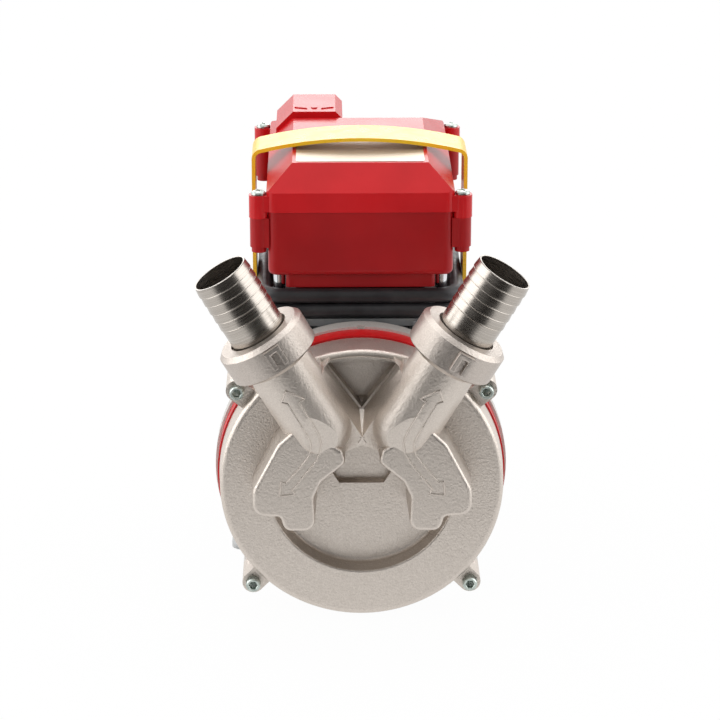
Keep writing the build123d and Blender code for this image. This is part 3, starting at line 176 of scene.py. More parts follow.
cord_points = [(gland_place, 150, gland_height), (gland_place, 172, 109.4), (27.8, 192, 111.6),
               (24, 214, 113.8), (12, 229, wind_upper), (-8, wind_back, wind_upper),
               (-30, wind_back, wind_upper)]
corner_x, corner_front = post_corner
for turn_height in (wind_upper, wind_lower):
    corner_turn(cord_points, -corner_x, post_corner_back, 90, turn_height)
    cord_points.append((-wind_side, 165, turn_height))
    cord_points.append((-wind_side, 125, turn_height))
    corner_turn(cord_points, -corner_x, corner_front, 180, turn_height)
    cord_points.append((-18, corner_front - wind_radius, turn_height))
    cord_points.append((18, corner_front - wind_radius, turn_height))
    corner_turn(cord_points, corner_x, corner_front, 270, turn_height)
    cord_points.append((wind_side, 125, turn_height))
    if turn_height == wind_upper:
        cord_points.append((wind_side, 165, wind_upper))
        corner_turn(cord_points, corner_x, post_corner_back, 0, wind_upper)
        cord_points[-2] = (cord_points[-2][0], cord_points[-2][1], crossing_upper)
        cord_points[-1] = (cord_points[-1][0], cord_points[-1][1], crossing_lower)
        cord_points.append((24, wind_back, wind_lower))
        cord_points.append((-18, wind_back, wind_lower))
cord_points += [(wind_side, 165, wind_lower), (wind_side, 200, wind_lower), (wind_side, 226.65, wind_lower),
                (wind_side, 262, wind_lower), (65, 292, 86), (64, 310, 56), (64, 313, 6), (64, 311, -46),
                (32.6, 295, -83), (-12, 272, -83)]

cord_curve = bpy.data.curves.new("supply_cord", "CURVE")
cord_curve.dimensions = "3D"
cord_curve.resolution_u = 8
cord_curve.bevel_depth = cord_radius / 1000
cord_curve.bevel_resolution = 6
cord_line = cord_curve.splines.new("NURBS")
cord_line.points.add(len(cord_points) - 1)
for point, place in zip(cord_line.points, cord_points):
    point.co = (*at(*place), 1.0)
cord_line.order_u = 3
cord_line.use_endpoint_u = True
cord = bpy.data.objects.new("supply_cord", cord_curve)
scene.collection.objects.link(cord)

cord_black = finish("cord_black", 0.42, specular=0.45)
cord_where = place_on(cord_black)
shade(cord_black, noise(cord_black, cord_where, 60), paint(36, 35, 37), paint(50, 49, 51))
grain(cord_black, noise(cord_black, cord_where, 900, 2.0), 0.00015, 0.5)
wear(cord_black, noise(cord_black, cord_where, 140), 0.34, 0.5)
cord_curve.materials.append(cord_black)
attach(cord, "root")
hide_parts("cord_lead", "cord_winding", "cord_tail")

# The strain relief at the gland: a ribbed, tapered rubber sleeve that the clamping nut grips, so that
# the cable can't be bent sharply where it leaves the duct.
relief_start = 149.0
relief_length = 26.0
relief_ribs = 6
relief_radius = 8.6
relief_taper = 2.6


def close_shell(mesh, loops):
    """The side faces between each two loops, and a face at either end."""
    for near, far in zip(loops, loops[1:]):
        for i in range(len(near)):
            j = (i + 1) % len(near)
            mesh.faces.new((near[i], near[j], far[j], far[i]))
    mesh.faces.new(list(reversed(loops[0])))
    mesh.faces.new(loops[-1])


def finished_mesh(mesh, name):
    """The mesh under its name, with every face turned outward."""
    bmesh.ops.recalc_face_normals(mesh, faces=mesh.faces)
    data = bpy.data.meshes.new(name)
    mesh.to_mesh(data)
    mesh.free()
    return data


def ringed(name, rings, count):
    """A closed shell through rings of (place along Y, radius at an angle), all round the Y axis."""
    mesh = bmesh.new()
    loops = []
    for place, radius_at in rings:
        loop = []
        for i in range(count):
            angle = 2 * math.pi * i / count
            radius = radius_at(angle) if callable(radius_at) else radius_at
            loop.append(mesh.verts.new((radius * math.cos(angle), place, radius * math.sin(angle))))
        loops.append(loop)
    close_shell(mesh, loops)
    return finished_mesh(mesh, name)


def add_piece(name, data, material, body="root", smooth=True):
    """A finished piece at the origin, riding on its body."""
    piece = bpy.data.objects.new(name, data)
    scene.collection.objects.link(piece)
    data.materials.clear()
    data.materials.append(material)
    for face in data.polygons:
        face.use_smooth = smooth
    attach(piece, body)
    return piece


relief_rings = []
for i in range(relief_ribs):
    start = i * relief_length / relief_ribs
    rib = relief_radius - relief_taper * i / relief_ribs
    relief_rings += [(start, rib - 1.0), (start + 0.5, rib),
                     (start + 2.4, rib - 0.2), (start + 2.9, rib - 1.2)]
relief_rings.append((relief_length, cord_radius + 0.25))
relief_mesh = ringed("cord_relief", relief_rings, 40)
relief_mesh.transform(Matrix.Translation((gland_place, relief_start, gland_height)))
relief_mesh.transform(Matrix.Translation((0, -foot_centre, shaft_height)))
relief_mesh.transform(Matrix.Scale(0.001, 4))

relief_rubber = finish("relief_rubber", 0.6)
relief_where = place_on(relief_rubber)
shade(relief_rubber, noise(relief_rubber, relief_where, 90), paint(26, 26, 27), paint(36, 36, 37))
grain(relief_rubber, noise(relief_rubber, relief_where, 1500, 2.0), 0.0001, 0.5)
relief = add_piece("cord_relief", relief_mesh, relief_rubber)

# The plug: a moulded black body with two round nickel-plated pins, on the end of the cord.
plug_black = finish("plug_black", 0.5)
plug_where = place_on(plug_black)
shade(plug_black, noise(plug_black, plug_where, 70), paint(28, 28, 29), paint(38, 38, 39))
grain(plug_black, noise(plug_black, plug_where, 1800, 2.0), 0.00008, 0.6)
dress(plug_black, "plug")
pin_nickel = finish("pin_nickel", 0.25, metallic=1.0)
pin_where = place_on(pin_nickel)
shade(pin_nickel, noise(pin_nickel, pin_where, 120), paint(196, 188, 168), paint(214, 207, 190))
wear(pin_nickel, noise(pin_nickel, pin_where, 400), 0.2, 0.34)
dress(pin_nickel, "plug_pins")

# The pump head's front cover: one aluminium casting, bead blasted, with the two port chambers as
# raised kidney pads that run up into the necks.
cast_metal = finish("cast_metal", 0.4, metallic=1.0)
cast_where = place_on(cast_metal)
shade(cast_metal, noise(cast_metal, cast_where, 1400, 2.0), paint(207, 198, 189), paint(220, 211, 202))
grain(cast_metal, noise(cast_metal, cast_where, 720, 2.0), 0.00034, 0.7)
grain(cast_metal, noise(cast_metal, cast_where, 330, 2.0), 0.0003, 0.25)
wear(cast_metal, noise(cast_metal, cast_where, 500), 0.41, 0.51)
dress(cast_metal, "front_cover")

# Flow arrows: thin raised lines cast on each chamber, an arrow head at both ends because the pump
# runs either way. They are part of the casting, so they follow its surface.
arrow_line = [(-49.6, 80.6), (-52.6, 72.0), (-48.6, 71.2), (-42.6, 60.1), (-37.4, 50.4), (-34.4, 44.6),
              (-33.6, 39.8), (-34.8, 33.0), (-41.6, 23.6), (-50.2, 13.6), (-53.4, 14.6), (-54.2, 4.8),
              (-44.6, 6.0), (-45.8, 9.0), (-37.3, 19.9), (-31.6, 27.2), (-27.8, 34.7), (-26.8, 41.5),
              (-28.2, 47.6), (-31.2, 54.4), (-36.0, 63.2), (-41.0, 72.4), (-37.8, 74.6)]
ridge_radius = 0.65
ridge_lift = 0.05
ridge_steps = 6
sight_front = -60


def raised_line(name, outline, side):
    """A closed thin ridge laid on the cover where the outline falls on it, seen from the front."""
    cover = nodes["front_cover"]
    tree = BVHTree.FromObject(cover, bpy.context.evaluated_depsgraph_get())
    curve = bpy.data.curves.new(name, "CURVE")
    curve.dimensions = "3D"
    curve.bevel_depth = ridge_radius / 1000
    curve.bevel_resolution = 2
    placed = []
    for here, there in zip(outline, outline[1:] + outline[:1]):
        for i in range(ridge_steps):
            t = i / ridge_steps
            across = side * -(here[0] * (1 - t) + there[0] * t)
            start = at(across, sight_front, here[1] * (1 - t) + there[1] * t)
            hit = tree.ray_cast(start, Vector((0, 1, 0)))[0]
            placed.append(hit - Vector((0, ridge_lift / 1000, 0)))
    line = curve.splines.new("POLY")
    line.points.add(len(placed) - 1)
    for point, place in zip(line.points, placed):
        point.co = (*place, 1.0)
    line.use_cyclic_u = True
    maker = bpy.data.objects.new(name, curve)
    scene.collection.objects.link(maker)
    bpy.context.view_layer.update()
    data = bpy.data.meshes.new_from_object(maker.evaluated_get(bpy.context.evaluated_depsgraph_get()))
    bpy.data.objects.remove(maker)
    return data


for side, name in ((-1, "left"), (1, "right")):
    arrow_mesh = raised_line("flow_arrow_" + name, arrow_line, side)
    add_piece("flow_arrow_" + name, arrow_mesh, cast_metal)

# Behind the cover: a black gasket, the chamber ring painted red, and the grey cast rear flange, all
# clamped together by the four cover screws.
gasket_black = finish("gasket_black", 0.7)
gasket_where = place_on(gasket_black)
shade(gasket_black, noise(gasket_black, gasket_where, 200), paint(34, 33, 33), paint(50, 49, 48))
grain(gasket_black, noise(gasket_black, gasket_where, 900), 0.0001, 0.5)
dress(gasket_black, "cover_gasket", "port_gaskets", "lid_gasket")

ring_red = finish("ring_red", 0.34, specular=0.35)
ring_where = place_on(ring_red)
shade(ring_red, noise(ring_red, ring_where, 60), paint(196, 20, 24), paint(212, 26, 30))
grain(ring_red, noise(ring_red, ring_where, 500), 0.0002, 0.35)
dress(ring_red, "chamber_ring")

flange_metal = finish("flange_metal", 0.5, metallic=0.2)
flange_where = place_on(flange_metal)
shade(flange_metal, noise(flange_metal, flange_where, 1400, 2.0), paint(190, 185, 180), paint(205, 200, 194))
grain(flange_metal, noise(flange_metal, flange_where, 1000, 2.0), 0.00028, 0.55)
wear(flange_metal, noise(flange_metal, flange_where, 500), 0.38, 0.48)
dress(flange_metal, "rear_flange")

# Cover screws: four M6 socket cap screws, steel with a zinc plate, each head knurled round its side
# and broached with a hexagon.
screw_circle = 104.5
screw_angles = (37.7, 142.3, 225.3, 314.7)
head_front = 3.0
lug_face = 9.0


def hexagon_at(width):
    """The radius of a hexagon of that width across flats, by angle."""
    def radius_at(angle):
        within = (angle % (math.pi / 3)) - math.pi / 6
        return width / 2 / math.cos(within)
    return radius_at


def knurl_at(radius, teeth, depth):
    """The radius of a knurled side, by angle."""
    def radius_at(angle):
        return radius - depth * (0.5 + 0.5 * math.cos(teeth * angle))
    return radius_at


def repeat_on(name, head, places, material):
    """Geometry nodes: one head set on every place, made real and given its finish."""
    points = bpy.data.meshes.new(name + "_places")
    points.from_pydata([tuple(p) for p in places], [], [])
    maker = bpy.data.objects.new(name, points)
    scene.collection.objects.link(maker)
    tree = bpy.data.node_groups.new(name + "_tree", "GeometryNodeTree")
    tree.interface.new_socket("Places", in_out="INPUT", socket_type="NodeSocketGeometry")
    head_socket = tree.interface.new_socket("Head", in_out="INPUT", socket_type="NodeSocketObject")
    size_socket = tree.interface.new_socket("Head size", in_out="INPUT", socket_type="NodeSocketFloat")
    tree.interface.new_socket("Result", in_out="OUTPUT", socket_type="NodeSocketGeometry")
    source = tree.nodes.new("NodeGroupInput")
    result = tree.nodes.new("NodeGroupOutput")
    shape = tree.nodes.new("GeometryNodeObjectInfo")
    spread = tree.nodes.new("GeometryNodeInstanceOnPoints")
    real = tree.nodes.new("GeometryNodeRealizeInstances")
    coat = tree.nodes.new("GeometryNodeSetMaterial")
    coat.inputs["Material"].default_value = material
    tree.links.new(source.outputs["Head"], shape.inputs["Object"])
    tree.links.new(source.outputs["Places"], spread.inputs["Points"])
    tree.links.new(shape.outputs["Geometry"], spread.inputs["Instance"])
    tree.links.new(source.outputs["Head size"], spread.inputs["Scale"])
    tree.links.new(spread.outputs["Instances"], real.inputs["Geometry"])
    tree.links.new(real.outputs["Geometry"], coat.inputs["Geometry"])
    tree.links.new(coat.outputs["Geometry"], result.inputs["Result"])
    head_object = bpy.data.objects.new(name + "_head", head)
    scene.collection.objects.link(head_object)
    modifier = maker.modifiers.new("repeat", "NODES")
    modifier.node_group = tree
    modifier[head_socket.identifier] = head_object
    modifier[size_socket.identifier] = 1.0
    bpy.context.view_layer.update()
    data = bpy.data.meshes.new_from_object(maker.evaluated_get(bpy.context.evaluated_depsgraph_get()))
    bpy.data.objects.remove(maker)
    bpy.data.objects.remove(head_object)
    return data


zinc = finish("zinc_plate", 0.3, metallic=1.0)
zinc_where = place_on(zinc)
shade(zinc, noise(zinc, zinc_where, 300), paint(168, 178, 172), paint(204, 212, 206))
wear(zinc, noise(zinc, zinc_where, 700), 0.24, 0.42)
dress(zinc, "tie_rods", "fan_cowl_screws", "saddle_bolts", "post_screws", "strap_screws", "capacitor_clamp")

shank_tip = 49.0
shank_radius = 2.95
head_edge = 4.7
head_knurl = knurl_at(5.0, 36, 0.25)
head_socket = hexagon_at(5.0)
cap_head = ringed("cap_head", [
    (shank_tip, shank_radius), (lug_face, shank_radius), (lug_face, head_edge),
    (lug_face - 0.3, head_knurl), (head_front + 0.9, head_knurl), (head_front + 0.8, head_edge),
    (head_front, 4.1), (head_front, hexagon_at(5.6)), (head_front + 0.3, head_socket),
    (head_front + 3.2, head_socket), (head_front + 4.4, 0.3)], 144)
cap_head.transform(Matrix.Scale(0.001, 4))
cap_places = []
for angle in screw_angles:
    across = screw_circle * math.cos(math.radians(angle))
    up = screw_circle * math.sin(math.radians(angle))
    cap_places.append(at(across, 0, up))
cap_mesh = repeat_on("cap_screws", cap_head, cap_places, zinc)
cap_screws = add_piece("cap_screws", cap_mesh, zinc, smooth=False)
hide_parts("cover_screws")

# The pumping star: a machined brass impeller, keyed to the shaft and held by a flanged nut.
impeller_brass = finish("impeller_brass", 0.32, metallic=1.0)
impeller_where = place_on(impeller_brass, stretch=(1, 12, 1))
shade(impeller_brass, noise(impeller_brass, impeller_where, 90), paint(196, 158, 92), paint(222, 188, 120))
grain(impeller_brass, noise(impeller_brass, impeller_where, 600), 0.0001, 0.4)
dress(impeller_brass, "impeller")

# The shaft and what is on it: ground steel, with its key, nut, seal spring and preload washer.
ground_steel = finish("ground_steel", 0.28, metallic=1.0)
ground_where = place_on(ground_steel, stretch=(1, 25, 1))
shade(ground_steel, noise(ground_steel, ground_where, 80), paint(172, 174, 176), paint(206, 208, 210))
grain(ground_steel, noise(ground_steel, ground_where, 400), 0.00005, 0.5)
dress(ground_steel, "shaft", "impeller_nut", "impeller_key", "seal_spring", "bearing_preload_washer")

# Shaft seal faces: a lapped white ceramic seat in the flange and a black carbon head on the shaft.
seat_white = finish("seat_white", 0.22)
seat_where = place_on(seat_white)
shade(seat_white, noise(seat_white, seat_where, 300), paint(228, 226, 218), paint(240, 238, 230))
grain(seat_white, noise(seat_white, seat_where, 2000), 0.00002, 0.4)
dress(seat_white, "seal_seat")
carbon_black = finish("carbon_black", 0.45)
carbon_where = place_on(carbon_black)
shade(carbon_black, noise(carbon_black, carbon_where, 500), paint(38, 38, 40), paint(58, 58, 60))
grain(carbon_black, noise(carbon_black, carbon_where, 2500), 0.00003, 0.4)
dress(carbon_black, "seal_head")

# Two ball bearings: hardened and ground rings with polished balls.
bearing_steel = finish("bearing_steel", 0.14, metallic=1.0)
bearing_where = place_on(bearing_steel)
shade(bearing_steel, noise(bearing_steel, bearing_where, 200), paint(196, 198, 200), paint(220, 222, 224))
wear(bearing_steel, noise(bearing_steel, bearing_where, 900), 0.1, 0.2)
for place in ("front", "rear"):
    dress(bearing_steel, place + "_bearing_outer_ring", place + "_bearing_inner_ring",
          place + "_bearing_balls")

# The motor's cores: stacks of thin punched steel sheets, which show as fine lines across the shaft,
# with cast aluminium end rings on the rotor.
core_stack = finish("core_stack", 0.4, metallic=0.9)
stack_wave = core_stack.node_tree.nodes.new("ShaderNodeTexWave")
stack_wave.bands_direction = "Y"
stack_wave.inputs["Scale"].default_value = 320.0
core_stack.node_tree.links.new(place_on(core_stack), stack_wave.inputs["Vector"])
shade(core_stack, stack_wave.outputs["Fac"], paint(86, 86, 90), paint(132, 132, 136), 0.2, 0.8)
grain(core_stack, stack_wave.outputs["Fac"], 0.0001, 0.8)
dress(core_stack, "rotor_core", "stator_core")
end_ring_cast = finish("end_ring_cast", 0.45, metallic=0.9)
end_ring_where = place_on(end_ring_cast)
shade(end_ring_cast, noise(end_ring_cast, end_ring_where, 200), paint(190, 190, 192), paint(208, 208, 210))
grain(end_ring_cast, noise(end_ring_cast, end_ring_where, 700), 0.0002, 0.5)
dress(end_ring_cast, "rotor_end_rings")

# The windings: varnished copper wire, laid in the slots and bent round in a bundle at each end.
winding_copper = finish("winding_copper", 0.3, metallic=0.8, coat=0.6)
wire_wave = winding_copper.node_tree.nodes.new("ShaderNodeTexWave")
wire_wave.wave_type = "RINGS"
wire_wave.rings_direction = "Y"
wire_wave.inputs["Scale"].default_value = 300.0
wire_wave.inputs["Distortion"].default_value = 6.0
wire_wave.inputs["Detail Scale"].default_value = 0.4
winding_copper.node_tree.links.new(place_on(winding_copper), wire_wave.inputs["Vector"])
shade(winding_copper, wire_wave.outputs["Fac"], paint(120, 58, 24), paint(206, 122, 66), 0.1, 0.8)
grain(winding_copper, wire_wave.outputs["Fac"], 0.0005, 0.8)
dress(winding_copper, "stator_windings")

# The motor's outside: a finned aluminium casting and its rear shield, in a mid grey paint.
motor_paint = finish("motor_paint", 0.48, metallic=0.15)
motor_where = place_on(motor_paint)
shade(motor_paint, noise(motor_paint, motor_where, 80), paint(118, 120, 121), paint(130, 132, 133))
grain(motor_paint, noise(motor_paint, motor_where, 420), 0.0004, 0.45)
wear(motor_paint, noise(motor_paint, motor_where, 150), 0.4, 0.56)
dress(motor_paint, "motor_casing", "rear_end_shield")

# The fan cowl and the foot plate: pressed steel sheet in a smooth grey paint.
cowl_paint = finish("cowl_paint", 0.4)
cowl_where = place_on(cowl_paint)
shade(cowl_paint, noise(cowl_paint, cowl_where, 40), paint(178, 179, 178), paint(190, 191, 190))
grain(cowl_paint, noise(cowl_paint, cowl_where, 900), 0.00012, 0.4)
dress(cowl_paint, "fan_cowl", "foot_plate")

# The cooling fan: one black moulding pressed on the shaft's rear end.
fan_black = finish("fan_black", 0.55)
fan_where = place_on(fan_black)
shade(fan_black, noise(fan_black, fan_where, 90), paint(44, 44, 46), paint(56, 56, 58))
grain(fan_black, noise(fan_black, fan_where, 1200), 0.0001, 0.5)
dress(fan_black, "cooling_fan")

# Four chromed steel posts stand on the platform, carry the control box and hold the wound cord.
post_chrome = finish("post_chrome", 0.07, metallic=1.0)
post_where = place_on(post_chrome)
shade(post_chrome, noise(post_chrome, post_where, 90), paint(222, 224, 226), paint(236, 238, 240))
wear(post_chrome, noise(post_chrome, post_where, 500), 0.04, 0.12)
dress(post_chrome, "box_posts")

# Black fittings: the wire duct, the cord's gland, the terminal block and the reversing switch.
fitting_black = finish("fitting_black", 0.5)
fitting_where = place_on(fitting_black)
shade(fitting_black, noise(fitting_black, fitting_where, 70), paint(32, 32, 34), paint(44, 44, 46))
grain(fitting_black, noise(fitting_black, fitting_where, 1400), 0.0001, 0.5)
dress(fitting_black, "wire_duct", "cable_gland", "gland_nut", "gland_locknut", "terminal_block",
      "switch_body", "switch_shaft", "switch_knob")

# The capacitor: a white moulded can with two tabs, held by a steel clamp.
can_white = finish("can_white", 0.4)
can_where = place_on(can_white)
shade(can_white, noise(can_white, can_where, 60), paint(224, 224, 220), paint(234, 234, 230))
grain(can_white, noise(can_white, can_where, 1400), 0.00008, 0.4)
dress(can_white, "capacitor")

# The control box: a red base with a lid in the same plastic, both moulded glossy. The base's deeper red is
# painted shade.
box_red = finish("box_red", 0.3, specular=0.3)
box_where = place_on(box_red)
# The base's red is darker than the lid's: painted shade on the base.
shade(box_red, noise(box_red, box_where, 30), paint(156, 16, 20), paint(166, 19, 23))
grain(box_red, noise(box_red, box_where, 110, 0.0), 0.00004, 0.3)
wear(box_red, noise(box_red, box_where, 45, 1.0), 0.28, 0.32)
dress(box_red, "box_base")
lid_red = finish("lid_red", 0.24, specular=0.35)
lid_where = place_on(lid_red)
shade(lid_red, noise(lid_red, lid_where, 30), paint(190, 20, 26), paint(200, 24, 30))
grain(lid_red, noise(lid_red, lid_where, 110, 0.0), 0.00004, 0.3)
wear(lid_red, noise(lid_red, lid_where, 45, 1.0), 0.22, 0.26)
dress(lid_red, "box_lid")

# Switch positions: a triangle for each way the motor can run, with a stop dot between them. They stand
# proud of the switch housing's roof and are moulded with the lid.
roof_height = 208.2
mark_rise = 0.7
mark_sunk = 0.2
mark_edge = 0.25
mark_middle = (-31.0, 201.0)


def raised_mark(mesh, corners):
    """A flat raised shape on the roof, its top a little smaller than its foot."""
    middle_x = sum(x for x, y in corners) / len(corners)
    middle_y = sum(y for x, y in corners) / len(corners)
    loops = []
    mark_top = roof_height + mark_rise
    for level, shrink in ((roof_height - mark_sunk, 1.0), (mark_top - mark_edge, 0.98), (mark_top, 0.92)):
        loops.append([mesh.verts.new(at(mark_middle[0] + middle_x + (x - middle_x) * shrink,
                                        mark_middle[1] + middle_y + (y - middle_y) * shrink, level))
                      for x, y in corners])
    close_shell(mesh, loops)


marks = bmesh.new()
for way in (-1, 1):
    raised_mark(marks, [(way * 14.0, 0.3), (way * 7.7, 3.4), (way * 4.8, -3.4)])
raised_mark(marks, [(2.4 * math.cos(a * math.pi / 12), 2.4 * math.sin(a * math.pi / 12)) for a in range(24)])
add_piece("switch_marks", finished_mesh(marks, "switch_marks"), lid_red, smooth=False)

# Lid screws: four pan heads with a cross recess, zinc plated, down through the ears of the lid.
ear_side = 67.9
ear_places = [(side * ear_side, y) for side in (-1, 1) for y in (56.3, 233.7)]
ear_top = 185.7


def cross_at(length, half_width):
    """The radius of a cross-shaped recess, by angle."""
    def radius_at(angle):
        off = abs(((angle + math.pi / 4) % (math.pi / 2)) - math.pi / 4)
        return min(length, half_width / max(math.sin(off), 0.01))
    return radius_at


pan_head = ringed("pan_head", [
    (-24.0, 2.1), (0.0, 2.1), (0.0, 4.9), (0.5, 5.0), (1.4, 4.75), (2.2, 4.1), (2.7, 2.9),
    (2.75, cross_at(2.6, 0.6)), (1.2, cross_at(1.7, 0.45)), (1.0, 0.2)], 96)
pan_head.transform(Matrix.Rotation(math.radians(90), 4, "X"))
pan_head.transform(Matrix.Rotation(math.radians(25), 4, "Z"))
pan_head.transform(Matrix.Scale(0.001, 4))
pan_mesh = repeat_on("pan_screws", pan_head, [at(x, y, ear_top) for x, y in ear_places], zinc)
pan_screws = add_piece("pan_screws", pan_mesh, zinc, smooth=False)
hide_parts("lid_screws")

# A blank plate of anodised aluminium foil, brushed from side to side and glued flat on the lid's top
# from its front edge to under the strap.
foil_half_width = 43.0
foil_front = 68.5
foil_back = 140.0
foil_corner = 2.0
lid_roof = 204.6
foil_rise = 0.3
foil_sunk = 0.05

foil_outline = []
for corner, (x_side, y_place, y_side) in enumerate(((1, foil_back, 1), (-1, foil_back, 1),
                                                   (-1, foil_front, -1), (1, foil_front, -1))):
    for step in range(7):
        angle = math.radians(90 * corner + 15 * step)
        foil_outline.append((x_side * (foil_half_width - foil_corner) + foil_corner * math.cos(angle),
                             y_place - y_side * foil_corner + foil_corner * math.sin(angle)))
foil = bmesh.new()
foil_low = [foil.verts.new(at(x, y, lid_roof - foil_sunk)) for x, y in foil_outline]
foil_high = [foil.verts.new(at(x, y, lid_roof + foil_rise)) for x, y in foil_outline]
close_shell(foil, [foil_low, foil_high])
foil_mesh = finished_mesh(foil, "blank_plate")
plate_silver = finish("plate_silver", 0.38, metallic=1.0)
plate_where = place_on(plate_silver, stretch=(2, 60, 2))
shade(plate_silver, noise(plate_silver, plate_where, 30), paint(196, 184, 168), paint(212, 200, 185))
grain(plate_silver, noise(plate_silver, plate_where, 90), 0.00002, 0.4)
wear(plate_silver, noise(plate_silver, plate_where, 40), 0.34, 0.44)
foil_piece = add_piece("blank_plate", foil_mesh, plate_silver, smooth=False)
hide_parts("rating_plate")

# The strap handle: one band of soft yellow plastic, arched over the box and screwed to the platform.
strap_yellow = finish("strap_yellow", 0.36, coat=0.15)
strap_where = place_on(strap_yellow)
shade(strap_yellow, noise(strap_yellow, strap_where, 30), paint(240, 188, 28), paint(246, 198, 42))
grain(strap_yellow, noise(strap_yellow, strap_where, 110, 0.0), 0.0001, 0.25)
wear(strap_yellow, noise(strap_yellow, strap_where, 120), 0.26, 0.36)
dress(strap_yellow, "strap_handle")

# Hose tails: stainless steel, turned and polished, with saw-tooth ridges that hold the hose. Each is
# free to turn in its union nut.
tail_pieces = (("left", -1), ("right", 1))
port_spread = 30.6
port_lean = 3.0
port_axis_front = -10.9
first_crest = 147.5
crest_pitch = 6.6
crest_width = 0.8
tail_outside = 18.2


def outward_along(side):
    """The direction of one port, away from the pump."""
    spread = math.radians(port_spread)
    lean = math.radians(port_lean)
    return Vector((side * math.sin(spread) * math.cos(lean), -math.sin(lean),
                   math.cos(spread) * math.cos(lean)))


def work_out(tree, kind, operation, value, amount=None):
    """A node that works on a value, with a fixed amount where the operation takes one."""
    step = tree.nodes.new(kind)
    step.operation = operation
    tree.links.new(value, step.inputs[0])
    if amount is not None:
        step.inputs[1].default_value = amount
    return step


def crest_rings(material, side):
    """One at the crest of every ridge, and nought beside it and in the bore, as a pattern to raise."""
    tree = material.node_tree
    outward = outward_along(side)
    where = tree.nodes.new("ShaderNodeTexCoord").outputs["Object"]
    number, vector = "ShaderNodeMath", "ShaderNodeVectorMath"
    centred = work_out(tree, vector, "SUBTRACT", where, at(0, port_axis_front, 0)).outputs["Vector"]
    along = work_out(tree, vector, "DOT_PRODUCT", centred, outward).outputs["Value"]
    beside = work_out(tree, vector, "CROSS_PRODUCT", centred, outward).outputs["Vector"]
    radius = work_out(tree, vector, "LENGTH", beside).outputs["Value"]
    outside = work_out(tree, number, "GREATER_THAN", radius, tail_outside / 1000).outputs[0]
    above = work_out(tree, number, "SUBTRACT", along, first_crest / 1000).outputs[0]
    ridged = work_out(tree, number, "GREATER_THAN", above, -crest_width / 1000).outputs[0]
    nearest = work_out(tree, number, "PINGPONG", above, crest_pitch / 2000).outputs[0]
    fade = tree.nodes.new("ShaderNodeMapRange")
    fade.inputs["From Max"].default_value = crest_width / 2000
    fade.inputs["To Min"].default_value = 1.0
    fade.inputs["To Max"].default_value = 0.0
    tree.links.new(nearest, fade.inputs["Value"])
    rings = fade.outputs["Result"]
    for limit in (ridged, outside):
        within = work_out(tree, number, "MULTIPLY", rings)
        tree.links.new(limit, within.inputs[1])
        rings = within.outputs[0]
    return rings


for name, side in tail_pieces:
    tail_steel = finish("tail_steel_" + name, 0.29, metallic=1.0)
    tail_where = place_on(tail_steel, turn=(0, math.radians(-side * port_spread), 0),
                          stretch=(0.12, 0.12, 30))
    shade(tail_steel, noise(tail_steel, tail_where, 90, 2.0), paint(172, 165, 157), paint(190, 183, 175))
    wear(tail_steel, noise(tail_steel, tail_where, 60), 0.24, 0.31)
    grain(tail_steel, crest_rings(tail_steel, side), 0.0003)
    dress(tail_steel, "hose_tail_" + name)

# Union nuts: cast and bead blasted like the cover, with one raised lug each for the hook spanner, cast
# with rounded edges and a slot that is open at its foot.
nut_metal = finish("nut_metal", 0.38, metallic=1.0)
nut_where = place_on(nut_metal)
shade(nut_metal, noise(nut_metal, nut_where, 1400, 2.0), paint(190, 181, 173), paint(206, 197, 189))
grain(nut_metal, noise(nut_metal, nut_where, 720, 2.0), 0.00034, 0.7)
grain(nut_metal, noise(nut_metal, nut_where, 330, 2.0), 0.0003, 0.25)
wear(nut_metal, noise(nut_metal, nut_where, 500), 0.4, 0.5)
dress(nut_metal, "union_nut_left", "union_nut_right")

nut_radius = 30.5
lug_rise = 3.15
lug_edge_round = 1.0
lug_sunk = 1.5
lug_outline = [(-5.7, 114.9), (-1.8, 114.9), (-1.8, 125.6), (2.2, 125.6), (2.2, 114.9), (5.7, 114.9),
               (5.7, 129.2), (-5.7, 129.2)]


def on_port(side):
    """The frame of one port, in metres: its Z runs out along the port, its Y to the back."""
    spread = math.radians(port_spread)
    outward = outward_along(side)
    across = Vector((math.cos(spread), 0, -side * math.sin(spread)))
    frame_of_port = Matrix((across, outward.cross(across), outward)).transposed().to_4x4()
    frame_of_port.translation = at(0, port_axis_front, 0)
    return frame_of_port


for name, side, lug_angle in (("left", -1, 12), ("right", 1, 5)):
    lug = bmesh.new()
    foot = [lug.verts.new((x / 1000, (lug_sunk - nut_radius) / 1000, r / 1000)) for x, r in lug_outline]
    front = [lug.verts.new((x / 1000, (-lug_rise - nut_radius) / 1000, r / 1000)) for x, r in lug_outline]
    close_shell(lug, [foot, front])
    bmesh.ops.recalc_face_normals(lug, faces=lug.faces)
    front_edges = [edge for edge in lug.edges if any(v in front for v in edge.verts)]
    bmesh.ops.bevel(lug, geom=front_edges, offset=lug_edge_round / 1000, segments=3, profile=0.5,
                    affect="EDGES", clamp_overlap=True)
    lug.transform(Matrix.Rotation(math.radians(lug_angle), 4, "Z"))
    lug.transform(on_port(side))
    add_piece("nut_lug_" + name, finished_mesh(lug, "nut_lug_" + name), nut_metal,
              body="union_nut_" + name, smooth=False)

# The studio: a pale floor that fades into a white background but keeps the pump's shadow, large soft
# lights overhead, at each side and behind, a small one in front, and a dark room in front of the pump
# that only reflections show: a sheet seen only in glossy rays, as a painted dark reflection.


def seen_white(tree):
    """One where a ray comes from the camera, a reflection or glass, and nought elsewhere."""
    path = tree.nodes.new("ShaderNodeLightPath")
    total = path.outputs["Is Camera Ray"]
    for kind in ("Is Glossy Ray", "Is Transmission Ray"):
        larger = tree.nodes.new("ShaderNodeMath")
        larger.operation = "MAXIMUM"
        tree.links.new(total, larger.inputs[0])
        tree.links.new(path.outputs[kind], larger.inputs[1])
        total = larger.outputs[0]
    return total


